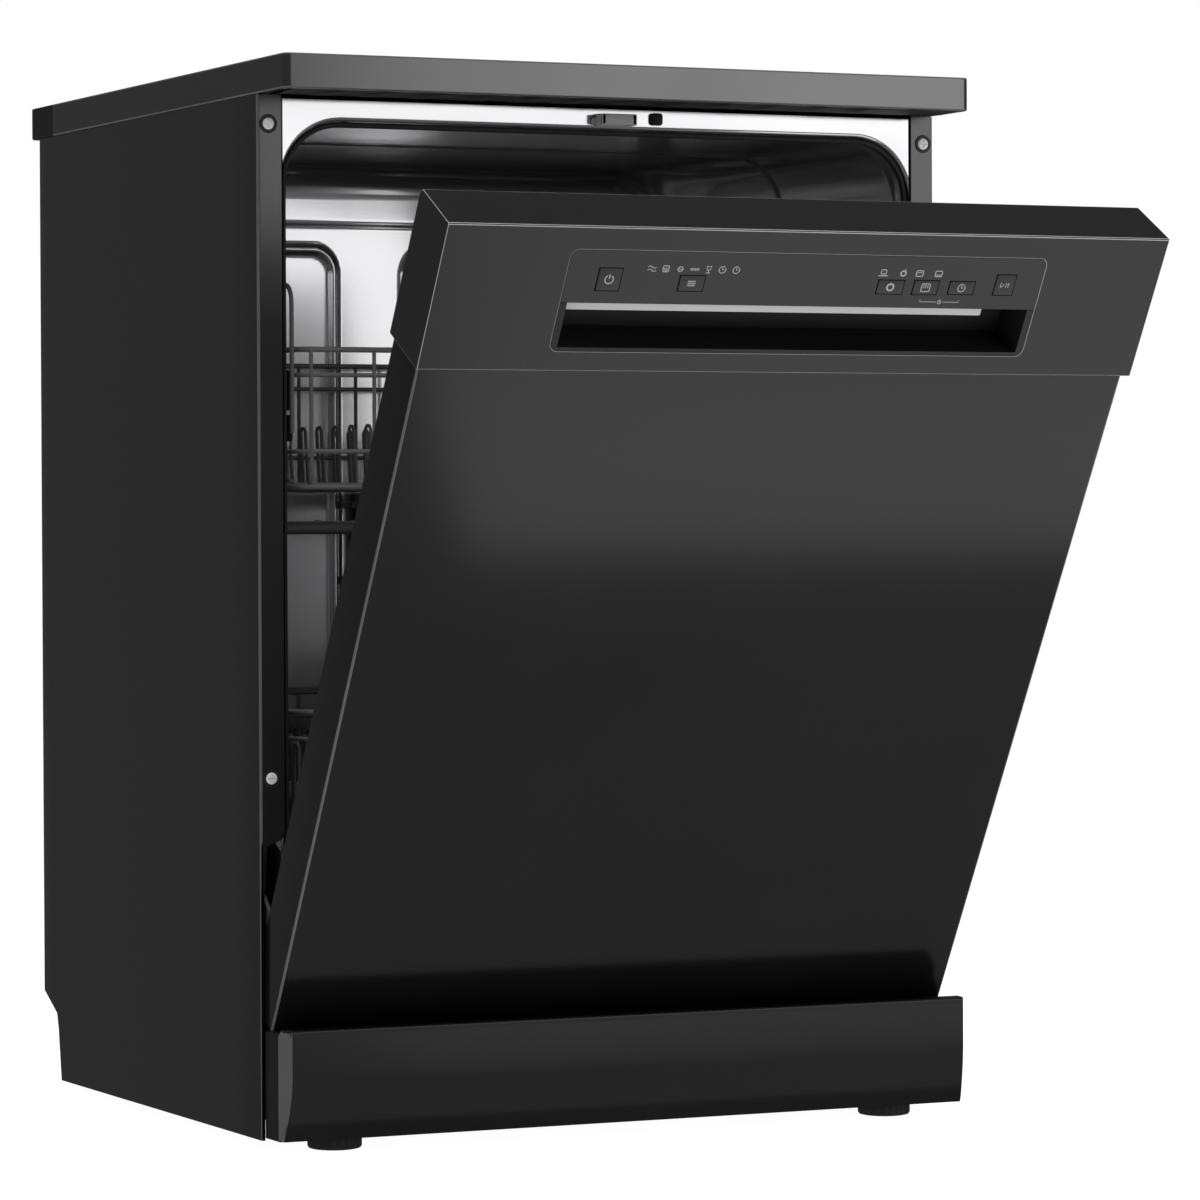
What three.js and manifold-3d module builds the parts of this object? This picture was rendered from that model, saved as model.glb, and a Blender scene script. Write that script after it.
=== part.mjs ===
// A free-standing 60 cm dishwasher, its door standing 30 degrees open and both racks home.
// Millimetres, +Z up, +Y towards the back, +X to the right. The floor is z = 0, and until the
// last lines y = 0 is the front edge of the worktop; the door hangs in a group of its own,
// turned about its hinge pins.
import * as THREE from 'three';
import { mergeVertices } from 'three/addons/utils/BufferGeometryUtils.js';
import Module from 'manifold-3d';

const wasm = await Module();
wasm.setup();

// ---- driving dimensions ----
const TOP_WIDTH = 598;
const TOP_DEPTH = 595;
const HEIGHT = 845;
const TOP_THICKNESS = 27;
const TOP_SEAM = 538;
const CLEAR = 0.4;
const SHEET = 1.2;
const CASE_HALF = 298;
const CASE_FRONT = 60;
const CASE_BACK = 575;
const FLANGE_WIDTH = 21;
const FRAME_TOP = 815;
const TUB_HALF = 277;
const TUB_TOP = 799;
const TUB_FLOOR = 190;
const TUB_BACK = 555;
const TUB_CORNER = 50;
const SUMP_Y = 300;
const SUMP_RADIUS = 121.5;
const PIVOT_Y = 62.1;
const PIVOT_Z = 179.2;
const PIN_RADIUS = 4;
const AJAR = THREE.MathUtils.degToRad(30);
const DOOR_FRONT = -62.1;
const DOOR_LOW = -70;
const DOOR_HIGH = 635.3;
const DOOR_HALF = 297.7;
const PANEL_HALF = 294.5;
const PANEL_FRONT = -55.5;
const CONSOLE_LOW = 517.1;
const LINER_FACE = -6;
const INSERT_HALF = 196.7;
const POCKET_LOW = 533.8;
const POCKET_HIGH = 572.9;
const INSERT_HIGH = 616.2;
const FOOT_RADIUS = 21.3;
const FOOT_HEIGHT = 12;
const WHEEL_RADIUS = 17;

const CASE_INNER = CASE_HALF - SHEET;
const TOP_UNDERSIDE = HEIGHT - TOP_THICKNESS;
const FRAME_FACE = CASE_FRONT + SHEET + CLEAR;

// ---- finishes ----
const finish = (color, roughness, metalness = 0) =>
  new THREE.MeshStandardMaterial({ color, roughness, metalness });
const BLACK_PAINT = finish(0x1b1b1d, 0.25);
const BLACK_GLOSS = finish(0x26262a, 0.2);
const BLACK_PLASTIC = finish(0x151517, 0.55);
const STAINLESS = finish(0xc9cacb, 0.22, 1);
const ZINC_STEEL = finish(0x9a9c9f, 0.4, 1);
const RUBBER = finish(0x18181a, 0.85);
const GREY_PLASTIC = finish(0x6f7174, 0.5);
const LIGHT_PLASTIC = finish(0xa9abae, 0.4);
const RACK_COATING = finish(0x55575b, 0.45);
const WHITE_PLASTIC = finish(0xdfe0df, 0.5);

// ---- shapes ----
const RIGHT = new THREE.Vector3(1, 0, 0);
const BACK = new THREE.Vector3(0, 1, 0);
const FRONT = new THREE.Vector3(0, -1, 0);
const UP = new THREE.Vector3(0, 0, 1);

const outline = (points) => new THREE.Shape(points.map(([a, b]) => new THREE.Vector2(a, b)));

// A rectangle whose corners are rounded: radii run low-left, low-right, high-right, high-left.
function roundedOutline(a0, a1, b0, b1, radii) {
  const [r0, r1, r2, r3] = radii;
  const shape = new THREE.Shape();
  shape.moveTo(a0 + r0, b0);
  shape.lineTo(a1 - r1, b0);
  if (r1 > 0) shape.absarc(a1 - r1, b0 + r1, r1, -Math.PI / 2, 0);
  shape.lineTo(a1, b1 - r2);
  if (r2 > 0) shape.absarc(a1 - r2, b1 - r2, r2, 0, Math.PI / 2);
  shape.lineTo(a0 + r3, b1);
  if (r3 > 0) shape.absarc(a0 + r3, b1 - r3, r3, Math.PI / 2, Math.PI);
  shape.lineTo(a0, b0 + r0);
  if (r0 > 0) shape.absarc(a0 + r0, b0 + r0, r0, Math.PI, Math.PI * 1.5);
  return shape;
}

const extrude = (shape, depth, curveSegments) =>
  new THREE.ExtrudeGeometry(shape, { depth, curveSegments, bevelEnabled: false });

// An outline in (y, z) carried from x0 to x1.
function alongX(shape, x0, x1, segments = 5) {
  const turn = new THREE.Matrix4().makeBasis(BACK, UP, RIGHT).setPosition(x0, 0, 0);
  return extrude(shape, x1 - x0, segments).applyMatrix4(turn);
}

// An outline in (x, z) carried from y0 to y1.
function alongY(shape, y0, y1, segments = 5) {
  const turn = new THREE.Matrix4().makeBasis(RIGHT, UP, FRONT).setPosition(0, y1, 0);
  return extrude(shape, y1 - y0, segments).applyMatrix4(turn);
}

// An outline in (x, y) carried from z0 to z1.
const alongZ = (shape, z0, z1, segments = 5) => extrude(shape, z1 - z0, segments).translate(0, 0, z0);

function block(x0, x1, y0, y1, z0, z1) {
  const box = new THREE.BoxGeometry(x1 - x0, y1 - y0, z1 - z0);
  return box.translate((x0 + x1) / 2, (y0 + y1) / 2, (z0 + z1) / 2);
}

// A round bar standing on z0.
const upright = (radius, x, y, z0, z1, sides = 24) =>
  new THREE.CylinderGeometry(radius, radius, z1 - z0, sides)
    .rotateX(Math.PI / 2).translate(x, y, (z0 + z1) / 2);

// A round bar lying along X.
const crossways = (radius, y, z, x0, x1, sides = 24) =>
  new THREE.CylinderGeometry(radius, radius, x1 - x0, sides)
    .rotateZ(Math.PI / 2).translate((x0 + x1) / 2, y, z);

// A round bar lying along Y.
const lengthways = (radius, x, z, y0, y1, sides = 24) =>
  new THREE.CylinderGeometry(radius, radius, y1 - y0, sides).translate(x, (y0 + y1) / 2, z);

// A turned piece: the profile is pairs of (radius, height) and closes on itself.
function turned(profile, sides = 32) {
  const points = [...profile, profile[0]].map(([r, z]) => new THREE.Vector2(r, z));
  return new THREE.LatheGeometry(points, sides).rotateX(Math.PI / 2);
}

function solid(geometry) {
  const bare = geometry.clone();
  bare.deleteAttribute('normal');
  bare.deleteAttribute('uv');
  const merged = mergeVertices(bare, 1e-4);
  const vertProperties = new Float32Array(merged.attributes.position.array);
  const triVerts = new Uint32Array(merged.index.array);
  return new wasm.Manifold(new wasm.Mesh({ numProp: 3, vertProperties, triVerts }));
}

function surface(manifold) {
  const mesh = manifold.getMesh();
  const geometry = new THREE.BufferGeometry();
  geometry.setAttribute('position', new THREE.BufferAttribute(mesh.vertProperties, 3));
  geometry.setIndex(new THREE.BufferAttribute(mesh.triVerts, 1));
  geometry.computeVertexNormals();
  return geometry;
}

const joined = (...pieces) => surface(pieces.map(solid).reduce((whole, piece) => whole.add(piece)));

const cut = (piece, ...tools) =>
  surface(tools.map(solid).reduce((whole, tool) => whole.subtract(tool), solid(piece)));

function add(group, name, geometry, material) {
  const mesh = new THREE.Mesh(geometry, material);
  mesh.name = name;
  group.add(mesh);
  return mesh;
}

const dishwasher = new THREE.Group();
const SIDES = [['left', -1], ['right', 1]];

// ---- worktop and its rear cap ----
const worktopFront = roundedOutline(-TOP_WIDTH / 2, TOP_WIDTH / 2, 0, TOP_SEAM - CLEAR, [6, 6, 0, 0]);
const worktopBack = roundedOutline(-TOP_WIDTH / 2, TOP_WIDTH / 2, TOP_SEAM, TOP_DEPTH, [0, 0, 6, 6]);
add(dishwasher, 'worktop', alongZ(worktopFront, TOP_UNDERSIDE, HEIGHT), BLACK_PAINT);
add(dishwasher, 'worktop_rear_cap', alongZ(worktopBack, TOP_UNDERSIDE, HEIGHT), BLACK_PLASTIC);

// ---- side panels: folded sheet, the front flange cut away where the hinge arm passes ----
function sidePanel(side) {
  const top = TOP_UNDERSIDE - CLEAR;
  const bottom = 7;
  const cheek = outline([
    [CASE_FRONT, bottom], [530, bottom], [537, 51], [541, 64],
    [CASE_BACK, 82], [CASE_BACK, top], [CASE_FRONT, top],
  ]);
  const flange = outline([
    [CASE_HALF, bottom], [CASE_HALF, top], [CASE_HALF - FLANGE_WIDTH, top],
    [CASE_HALF - FLANGE_WIDTH, 246], [CASE_HALF - 17, 240], [CASE_HALF - 6, 235],
    [CASE_HALF - 5, 205], [CASE_HALF - 2.6, 196], [CASE_HALF - 2.6, bottom],
  ]);
  const panel = joined(
    alongX(cheek, CASE_INNER, CASE_HALF),
    alongY(flange, CASE_FRONT, CASE_FRONT + SHEET),
    block(CASE_HALF - 14, CASE_HALF, CASE_BACK - SHEET, CASE_BACK, 82, top),
  );
  return side > 0 ? panel : mirrored(panel);
}

// A left-hand copy: x turned over, and each triangle's order with it so its face still points out.
function mirrored(geometry) {
  const copy = geometry.clone().applyMatrix4(new THREE.Matrix4().makeScale(-1, 1, 1));
  const index = copy.index.array;
  for (let i = 0; i < index.length; i += 3) {
    [index[i], index[i + 1]] = [index[i + 1], index[i]];
  }
  copy.computeVertexNormals();
  return copy;
}

for (const [hand, side] of SIDES) {
  add(dishwasher, `side_panel_${hand}`, sidePanel(side), BLACK_PAINT);
}

// ---- rear panel, screwed on over the side panels' rear flanges ----
const REAR_SHEET = CASE_BACK + CLEAR;
add(dishwasher, 'rear_panel',
  block(-CASE_INNER + CLEAR, CASE_INNER - CLEAR, REAR_SHEET, REAR_SHEET + SHEET, 84, 817),
  ZINC_STEEL);

// ---- tub: wrapped stainless sheet with the front frame, holes for the sump and salt neck ----
const SALT = { x: -185, y: 205, hole: 38 };

function mouth(inset) {
  const low = 12 - Math.min(inset, 10);
  const high = TUB_CORNER - inset;
  return roundedOutline(-TUB_HALF + inset, TUB_HALF - inset, TUB_FLOOR + inset, TUB_TOP - inset,
    [low, low, high, high]);
}

function tub() {
  const shell = cut(alongY(mouth(-SHEET), FRAME_FACE, TUB_BACK + SHEET, 6),
    alongY(mouth(0), CASE_FRONT, TUB_BACK, 6));
  const half = CASE_INNER - CLEAR;
  const notch = TUB_HALF + SHEET + CLEAR;
  const frame = outline([
    [-notch, 174.5], [notch, 174.5], [notch, 246], [half, 246], [half, FRAME_TOP],
    [-half, FRAME_TOP], [-half, 246], [-notch, 246],
  ]);
  const rim = cut(alongY(frame, FRAME_FACE, FRAME_FACE + SHEET), alongY(mouth(0), CASE_FRONT, 70, 6));
  const wells = [
    upright(SUMP_RADIUS, 0, SUMP_Y, TUB_FLOOR - 5, TUB_FLOOR + 5, 36),
    upright(SALT.hole, SALT.x, SALT.y, TUB_FLOOR - 5, TUB_FLOOR + 5, 28),
  ];
  return cut(joined(shell, rim), ...wells);
}
add(dishwasher, 'tub', tub(), STAINLESS);

// ---- gasket round the mouth, and the seal under the lip ----
const gasketFront = FRAME_FACE + SHEET + CLEAR;
const gasketRing = cut(alongY(mouth(CLEAR), gasketFront, gasketFront + 7, 6),
  alongY(mouth(5), gasketFront - 1, gasketFront + 8, 6),
  block(-300, 300, 0, 100, TUB_FLOOR, TUB_FLOOR + 22));
add(dishwasher, 'tub_gasket', gasketRing, RUBBER);
add(dishwasher, 'sill_seal',
  block(-270, 270, gasketFront, gasketFront + 9, 175, TUB_FLOOR - SHEET - CLEAR), RUBBER);

// ---- base tray with the bosses for the feet ----
const FEET = [
  ['front_left', -242.6, 47], ['front_right', 242.6, 47],
  ['rear_left', -242.6, 500], ['rear_right', 242.6, 500],
];
const TRAY_HALF = 286;

function baseTray() {
  const tray = cut(block(-TRAY_HALF, TRAY_HALF, 30, 556, 20, 170),
    block(-TRAY_HALF + 3, TRAY_HALF - 3, 33, 553, 24, 171),
    block(-TRAY_HALF - 1, TRAY_HALF + 1, 29, 152, 88, 171));
  const bosses = FEET.map(([, x, y]) => upright(12, x, y, 12.8, 22, 20));
  const holes = FEET.map(([, x, y]) => upright(5.6, x, y, 10, 30, 16));
  return cut(joined(tray, ...bosses), ...holes);
}
add(dishwasher, 'base_tray', baseTray(), BLACK_PLASTIC);

// ---- levelling feet: a ribbed disc on a threaded stem ----
for (const [place, x, y] of FEET) {
  const foot = joined(upright(FOOT_RADIUS, 0, 0, 0, FOOT_HEIGHT, 24), upright(5, 0, 0, 6, 62, 12));
  add(dishwasher, `foot_${place}`, foot, BLACK_PLASTIC).position.set(x, y, 0);
}

// ---- plinth: upright at the top, curling back to the bottom edge ----
const PLINTH_HALF = 296.6;
function plinth() {
  const face = [[5, 97], [5, 60], [6.5, 42], [10, 26], [15, 17], [22, 10.5]];
  const inner = face.slice().reverse().map(([y, z]) => [y + 2.6, z + (z < 20 ? 1.8 : 0)]);
  inner[inner.length - 1] = [7.6, 94];
  const skin = outline([...face, ...inner, [20, 94], [20, 97]]);
  const end = outline([...face, [34, 10.5], [34, 92], [20, 97]]);
  return joined(alongX(skin, -PLINTH_HALF, PLINTH_HALF),
    alongX(end, -PLINTH_HALF, -PLINTH_HALF + 2.5), alongX(end, PLINTH_HALF - 2.5, PLINTH_HALF));
}
add(dishwasher, 'plinth', cut(plinth(), block(-286.4, 286.4, 29.6, 60, 0, 92)), BLACK_PAINT);

// ---- striker that the door's latch takes hold of ----
const STRIKER = { x0: -9, x1: 22, y0: 47, z0: 801, z1: 811 };
add(dishwasher, 'striker', cut(
  block(STRIKER.x0, STRIKER.x1, STRIKER.y0, FRAME_FACE - CLEAR, STRIKER.z0, STRIKER.z1),
  block(STRIKER.x0 + 4, STRIKER.x1 - 4, STRIKER.y0 + 3, STRIKER.y0 + 10, 790, 820),
), LIGHT_PLASTIC);

// ---- rails for the upper rack's rollers ----
for (const [hand, side] of SIDES) {
  const [inner, outer] = [262, TUB_HALF - CLEAR];
  const rail = cut(block(inner, outer, 84, 542, 546, 574), block(inner - 1, outer - 4, 83, 543, 550, 570));
  add(dishwasher, `rack_rail_${hand}`, side > 0 ? rail : mirrored(rail), STAINLESS);
}

// ---- sump, filter, pumps and softener under the tub floor ----
const HUB_RADIUS = 14;
const UNDER_FLOOR = TUB_FLOOR - SHEET - CLEAR;
function sump() {
  const pan = turned([[0, 100], [SUMP_RADIUS + 2.5, 100], [SUMP_RADIUS + 2.5, 184],
    [SUMP_RADIUS + 10, 184], [SUMP_RADIUS + 10, UNDER_FLOOR], [SUMP_RADIUS, UNDER_FLOOR],
    [SUMP_RADIUS, 102.5], [HUB_RADIUS, 102.5], [HUB_RADIUS, 200], [0, 200]], 36);
  return pan.translate(0, SUMP_Y, 0);
}
add(dishwasher, 'sump', sump(), BLACK_PLASTIC);

const FILTER = { x: 50, y: SUMP_Y - 50, radius: 35 };
add(dishwasher, 'filter_plate', cut(
  upright(SUMP_RADIUS - 2, 0, SUMP_Y, 180, 182, 36),
  upright(HUB_RADIUS + 3, 0, SUMP_Y, 170, 190),
  upright(FILTER.radius + 2, FILTER.x, FILTER.y, 170, 190),
), STAINLESS);

const filterCup = turned([[0, 110], [32, 110], [34, 184], [FILTER.radius + 4, 184],
  [FILTER.radius + 4, 188], [30, 188], [28, 114], [0, 114]], 28);
add(dishwasher, 'filter_cylinder',
  joined(filterCup, block(-33, 33, -2, 2, 184, 196)), GREY_PLASTIC).position.set(FILTER.x, FILTER.y, 0);

add(dishwasher, 'wash_pump', joined(
  crossways(42, 320, 72, -250, -150, 28), crossways(26, 320, 72, -150, -135, 20)), WHITE_PLASTIC);
add(dishwasher, 'drain_pump', joined(
  crossways(28, 250, 64, 140, 220, 24), lengthways(11, 160, 64, 215, 260, 16)), WHITE_PLASTIC);

const saltNeck = turned([[0, 50], [46, 50], [46, 150], [SALT.hole - 0.8, 156], [SALT.hole - 0.8, 192],
  [34.5, 192], [34.5, 176], [0, 176]], 28);
add(dishwasher, 'softener', saltNeck.translate(SALT.x, SALT.y, 0), WHITE_PLASTIC);
const saltCap = turned([[0, 177], [33.5, 177], [33.5, 192.5], [37, 192.5], [37, 198], [0, 198]], 28);
add(dishwasher, 'salt_cap', saltCap, GREY_PLASTIC).position.set(SALT.x, SALT.y, 0);

// ---- spray feed: up the back wall to the socket for the upper rack's duct ----
add(dishwasher, 'spray_feed_tube', joined(
  block(-16, 16, 532, TUB_BACK - CLEAR, TUB_FLOOR + CLEAR, 512),
  block(-9, 9, 524.4, 540, 486, 506),
), GREY_PLASTIC);

// ---- water inlet valve on the back of the base ----
add(dishwasher, 'inlet_valve', joined(
  block(190, 245, 556.4, 574, 30, 80), lengthways(13, 218, 56, 570, 593, 20)), WHITE_PLASTIC);

// ---- hinge brackets with the pins, and the door springs in the side gaps ----
const ARM = { inner: 284.5, outer: 288 };
for (const [hand, side] of SIDES) {
  const plate = outline([[58, 176], [62, 174.2], [152, 174.4], [152, 30], [175, 30], [175, 200],
    [75, 200], [58, 183]]);
  const bracket = joined(alongX(plate, ARM.outer + 1, ARM.outer + 4),
    crossways(PIN_RADIUS, PIVOT_Y, PIVOT_Z, ARM.inner - 3, ARM.outer + 2, 20));
  add(dishwasher, `hinge_bracket_${hand}`, side > 0 ? bracket : mirrored(bracket), ZINC_STEEL);
  const spring = lengthways(6, 0, 120, 210, 370, 16);
  const coil = joined(spring, lengthways(1.5, 0, 120, 190, 390, 10));
  add(dishwasher, `door_spring_${hand}`, coil, ZINC_STEEL).position.set(side * 288, 0, 80);
}

// ---- racks: hoops of square wire, with thinner posts and rungs that end inside them ----
const WIRE = 4;
const POST = 3.4;
const RUNG = 2.8;
const bar = (size, x0, x1, y0, y1, z0, z1) => block(
  x0 - size / 2, x1 + size / 2, y0 - size / 2, y1 + size / 2, z0 - size / 2, z1 + size / 2);

function hoop(half, y0, y1, z) {
  const edge = WIRE / 2;
  const ring = roundedOutline(-half - edge, half + edge, y0 - edge, y1 + edge, [0, 0, 0, 0]);
  ring.holes.push(new THREE.Path(outline([[-half + edge, y0 + edge], [-half + edge, y1 - edge],
    [half - edge, y1 - edge], [half - edge, y0 + edge]]).getPoints()));
  return alongZ(ring, z - edge, z + edge);
}

function rack(half, y0, y1, floor, rims, rungs) {
  const bars = [floor, ...rims].map((z) => hoop(half, y0, y1, z));
  const top = Math.max(...rims);
  for (let i = 0; i <= rungs; i += 1) {
    const y = y0 + ((y1 - y0) * i) / rungs;
    const x = -half + (2 * half * i) / rungs;
    bars.push(bar(POST, -half, -half, y, y, floor, top), bar(POST, half, half, y, y, floor, top));
    if (i > 0 && i < rungs) {
      bars.push(bar(POST, x, x, y0, y0, floor, top), bar(POST, x, x, y1, y1, floor, top));
      bars.push(bar(RUNG, x, x, y0, y1, floor, floor));
    }
  }
  const across = RUNG - 0.8;
  bars.push(bar(across, -half, half, SUMP_Y, SUMP_Y, floor, floor));
  return bars;
}

const upperRack = new THREE.Group();
const lowerRack = new THREE.Group();
dishwasher.add(upperRack, lowerRack);

const UPPER = { half: 252, front: 92, back: 518, floor: 513, rims: [602, 622] };
const rollers = SIDES.flatMap(([, side]) => [150, 480].flatMap((y) => [
  crossways(6.5, y, 560, side > 0 ? 262.6 : -271, side > 0 ? 271 : -262.6, 16),
  crossways(2.5, y, 560, side > 0 ? 250 : -264, side > 0 ? 264 : -250, 10),
  bar(WIRE - 1, side * UPPER.half, side * UPPER.half, y - 5, y + 5, UPPER.floor, 602),
]));
add(upperRack, 'upper_rack', joined(
  ...rack(UPPER.half, UPPER.front, UPPER.back, UPPER.floor, UPPER.rims, 6), ...rollers,
), RACK_COATING);

add(upperRack, 'upper_spray_duct', joined(
  block(-10, 10, SUMP_Y, 524, 497, 510 - CLEAR), upright(16, 0, SUMP_Y, 490, 510 - CLEAR, 20),
), GREY_PLASTIC);

// Spray arm: a flat two-ended blade on a round hub, spinning about its own z axis.
function sprayArm(reach, halfWidth, z0, z1, hubTop) {
  const blade = roundedOutline(-reach, reach, -halfWidth, halfWidth,
    [halfWidth - 0.1, halfWidth - 0.1, halfWidth - 0.1, halfWidth - 0.1]);
  return joined(alongZ(blade, z0, z1), upright(26, 0, 0, z0, hubTop, 24));
}
add(upperRack, 'upper_spray_arm', sprayArm(205, 22, 476, 487, 489.4), GREY_PLASTIC)
  .position.set(0, SUMP_Y, 0);

const LOWER = { half: 250, front: 97, back: 520, floor: 232, rims: [316, 337] };
const axleHeight = TUB_FLOOR + CLEAR + WHEEL_RADIUS;
const AXLES = [['front', 132], ['rear', 484]];
const stubs = AXLES.flatMap(([, y]) => SIDES.flatMap(([, side]) => [
  bar(WIRE - 1, side * LOWER.half, side * LOWER.half, y - 5, y + 5, axleHeight - 5, LOWER.floor),
  crossways(3, y, axleHeight, side > 0 ? 249 : -270, side > 0 ? 270 : -249, 16),
]));
add(lowerRack, 'lower_rack', joined(
  ...rack(LOWER.half, LOWER.front, LOWER.back, LOWER.floor, LOWER.rims, 6), ...stubs,
), RACK_COATING);

for (const [end, y] of AXLES) {
  for (const [hand, side] of SIDES) {
    const wheel = turned([[3.5, -5.5], [WHEEL_RADIUS, -5.5], [WHEEL_RADIUS, 5.5], [3.5, 5.5]], 24)
      .rotateY(Math.PI / 2);
    add(lowerRack, `rack_wheel_${end}_${hand}`, wheel, GREY_PLASTIC)
      .position.set(side * 260, y, axleHeight);
  }
}

const BASKET = { x0: 96, x1: 238, y0: 108, y1: 330, z0: LOWER.floor + 3, z1: 352, wall: 2 };
function basket() {
  const { x0, x1, y0, y1, z0, z1, wall } = BASKET;
  const middle = (y0 + y1) / 2;
  return cut(block(x0, x1, y0, y1, z0, z1),
    block(x0 + wall, x1 - wall, y0 + wall, middle - wall / 2, z0 + wall, z1 + 1),
    block(x0 + wall, x1 - wall, middle + wall / 2, y1 - wall, z0 + wall, z1 + 1));
}
add(lowerRack, 'cutlery_basket', basket(), GREY_PLASTIC);

add(dishwasher, 'lower_spray_arm', sprayArm(222, 26, 204, 216, 220), GREY_PLASTIC)
  .position.set(0, SUMP_Y, 0);

// ---- the door, drawn standing on its hinge axis and then turned open ----
const door = new THREE.Group();
door.position.set(0, PIVOT_Y, PIVOT_Z);
door.rotation.x = AJAR;
dishwasher.add(door);

const panelTop = CONSOLE_LOW - CLEAR;
add(door, 'door_outer_panel', cut(
  block(-PANEL_HALF, PANEL_HALF, PANEL_FRONT, -7.6, DOOR_LOW, panelTop),
  block(-PANEL_HALF + SHEET, PANEL_HALF - SHEET, PANEL_FRONT + SHEET, 0, DOOR_LOW + SHEET, panelTop + 1),
), BLACK_PAINT);

function consoleShell() {
  const profile = outline([[DOOR_FRONT + 1, CONSOLE_LOW], [LINER_FACE + 0.9, CONSOLE_LOW],
    [LINER_FACE + 0.9, DOOR_HIGH - 4], [-9.1, DOOR_HIGH], [DOOR_FRONT + 1, DOOR_HIGH],
    [DOOR_FRONT, DOOR_HIGH - 1], [DOOR_FRONT, CONSOLE_LOW + 1]]);
  const window = roundedOutline(-INSERT_HALF - CLEAR, INSERT_HALF + CLEAR,
    POCKET_LOW - CLEAR, INSERT_HIGH + CLEAR, [7, 7, 7, 7]);
  return cut(alongX(profile, -DOOR_HALF, DOOR_HALF),
    block(-DOOR_HALF + 3, DOOR_HALF - 3, DOOR_FRONT + 3, 0, CONSOLE_LOW + 3, DOOR_HIGH - 3),
    block(-PANEL_HALF + 0.8, PANEL_HALF - 0.8, -54, 0, CONSOLE_LOW - 1, CONSOLE_LOW + 4),
    alongY(window, DOOR_FRONT - 1, DOOR_FRONT + 5, 4));
}
add(door, 'console', consoleShell(), BLACK_GLOSS);

// Push buttons: name, left and right edge, lower and upper edge, measured on the door face.
const BUTTONS = [
  ['power', -171.8, -153, 583.5, 602], ['program', -105.8, -85.4, 584.3, 597.1],
  ['ring', 58, 80, 584.7, 596.2], ['half_load', 88.3, 109.5, 584.7, 596.5],
  ['delay', 118.7, 140.2, 585.3, 596.2], ['start', 157.4, 174, 585.3, 602.4],
];
const FASCIA_FACE = DOOR_FRONT + 0.2;
const fascia = roundedOutline(-INSERT_HALF, INSERT_HALF, POCKET_HIGH + CLEAR, INSERT_HIGH, [0, 0, 6.6, 6.6]);
add(door, 'control_insert', cut(
  alongY(fascia, FASCIA_FACE, FASCIA_FACE + 2.5),
  ...BUTTONS.map(([, x0, x1, z0, z1]) => block(x0 - CLEAR, x1 + CLEAR, -70, -50, z0 - CLEAR, z1 + CLEAR)),
), BLACK_GLOSS);
for (const [name, x0, x1, z0, z1] of BUTTONS) {
  const cap = block(x0 - (x0 + x1) / 2, x1 - (x0 + x1) / 2, 0, 5.6, (z0 - z1) / 2, (z1 - z0) / 2);
  const stem = block(-2, 2, 4, 8, -2, 2);
  add(door, `button_${name}`, joined(cap, stem), BLACK_GLOSS)
    .position.set((x0 + x1) / 2, FASCIA_FACE - 0.2, (z0 + z1) / 2);
}

const POCKET = { back: -24, wall: 2.5, roof: 580 };
function handlePocket() {
  const { back, wall, roof } = POCKET;
  const rim = roundedOutline(-INSERT_HALF, INSERT_HALF, POCKET_LOW, POCKET_HIGH, [6.6, 6.6, 0, 0]);
  const half = INSERT_HALF - 3;
  const cup = block(-half, half, FASCIA_FACE + 3, back, POCKET_LOW + 0.4, roof);
  return cut(joined(alongY(rim, FASCIA_FACE, FASCIA_FACE + 3.2, 4), cup),
    block(-half + wall, half - wall, DOOR_FRONT - 1, back - wall, POCKET_LOW + 3, roof - wall));
}
add(door, 'handle_pocket', handlePocket(), BLACK_PLASTIC);

// The lever hangs on a bar across the top of the pocket and is pulled forward by the fingers.
const LEVER = { x0: -190.4, x1: 157, y: -52.6, z: 573 };
add(door, 'handle_lever', joined(
  block(LEVER.x0, LEVER.x1, -1.5, 1.5, -9.5, 2), crossways(2.6, 0, 0, LEVER.x0, LEVER.x1, 14),
), LIGHT_PLASTIC).position.set(0, LEVER.y, LEVER.z);

const LATCH = { x0: -22, x1: 35, y0: -44, y1: -8, z0: 583, z1: 631 };
add(door, 'latch_body', cut(
  block(LATCH.x0, LATCH.x1, LATCH.y0, LATCH.y1, LATCH.z0, LATCH.z1),
  block(STRIKER.x0 - 4, STRIKER.x1 + 4, -29, 0, 594, 640),
), BLACK_PLASTIC);
const HOOK = { y: -20, z: 601 };
add(door, 'latch_hook', joined(
  crossways(4, 0, 0, 0, 13, 16), block(0, 13, -2, 2, 0, 16), block(0, 13, -2, 6, 13, 17),
), ZINC_STEEL).position.set(0, HOOK.y, HOOK.z);

add(door, 'control_board', block(-182, 182, -52.4, -46, 583, 620), BLACK_PLASTIC);

// ---- inner door: a stainless liner with a pressed-in field, and the dispenser in its hole ----
const DISPENSER = { x0: -100, x1: 60, z0: 235, z1: 385 };
const FIELD = { half: 262, z0: 70, z1: 560, depth: 14 };
function innerDoor() {
  const sheet = block(-293, 293, LINER_FACE - SHEET, LINER_FACE, -56, 616);
  const field = (grow, y0) => block(-FIELD.half - grow, FIELD.half + grow, y0, 1,
    FIELD.z0 - grow, FIELD.z1 + grow);
  const floor = LINER_FACE - FIELD.depth;
  const pan = cut(cut(field(SHEET, floor - SHEET), field(0, floor)),
    block(-300, 300, LINER_FACE, 2, 0, 700));
  const armSlot = (x0, x1) => block(x0, x1, -60, 0, -60, 66);
  return cut(joined(cut(sheet, field(0, -30)), pan),
    armSlot(-300, -282), armSlot(282, 300),
    block(DISPENSER.x0 + 7.6, DISPENSER.x1 - 7.6, -30, 0, DISPENSER.z0 + 7.6, DISPENSER.z1 - 7.6));
}
add(door, 'inner_door', innerDoor(), STAINLESS);

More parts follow.
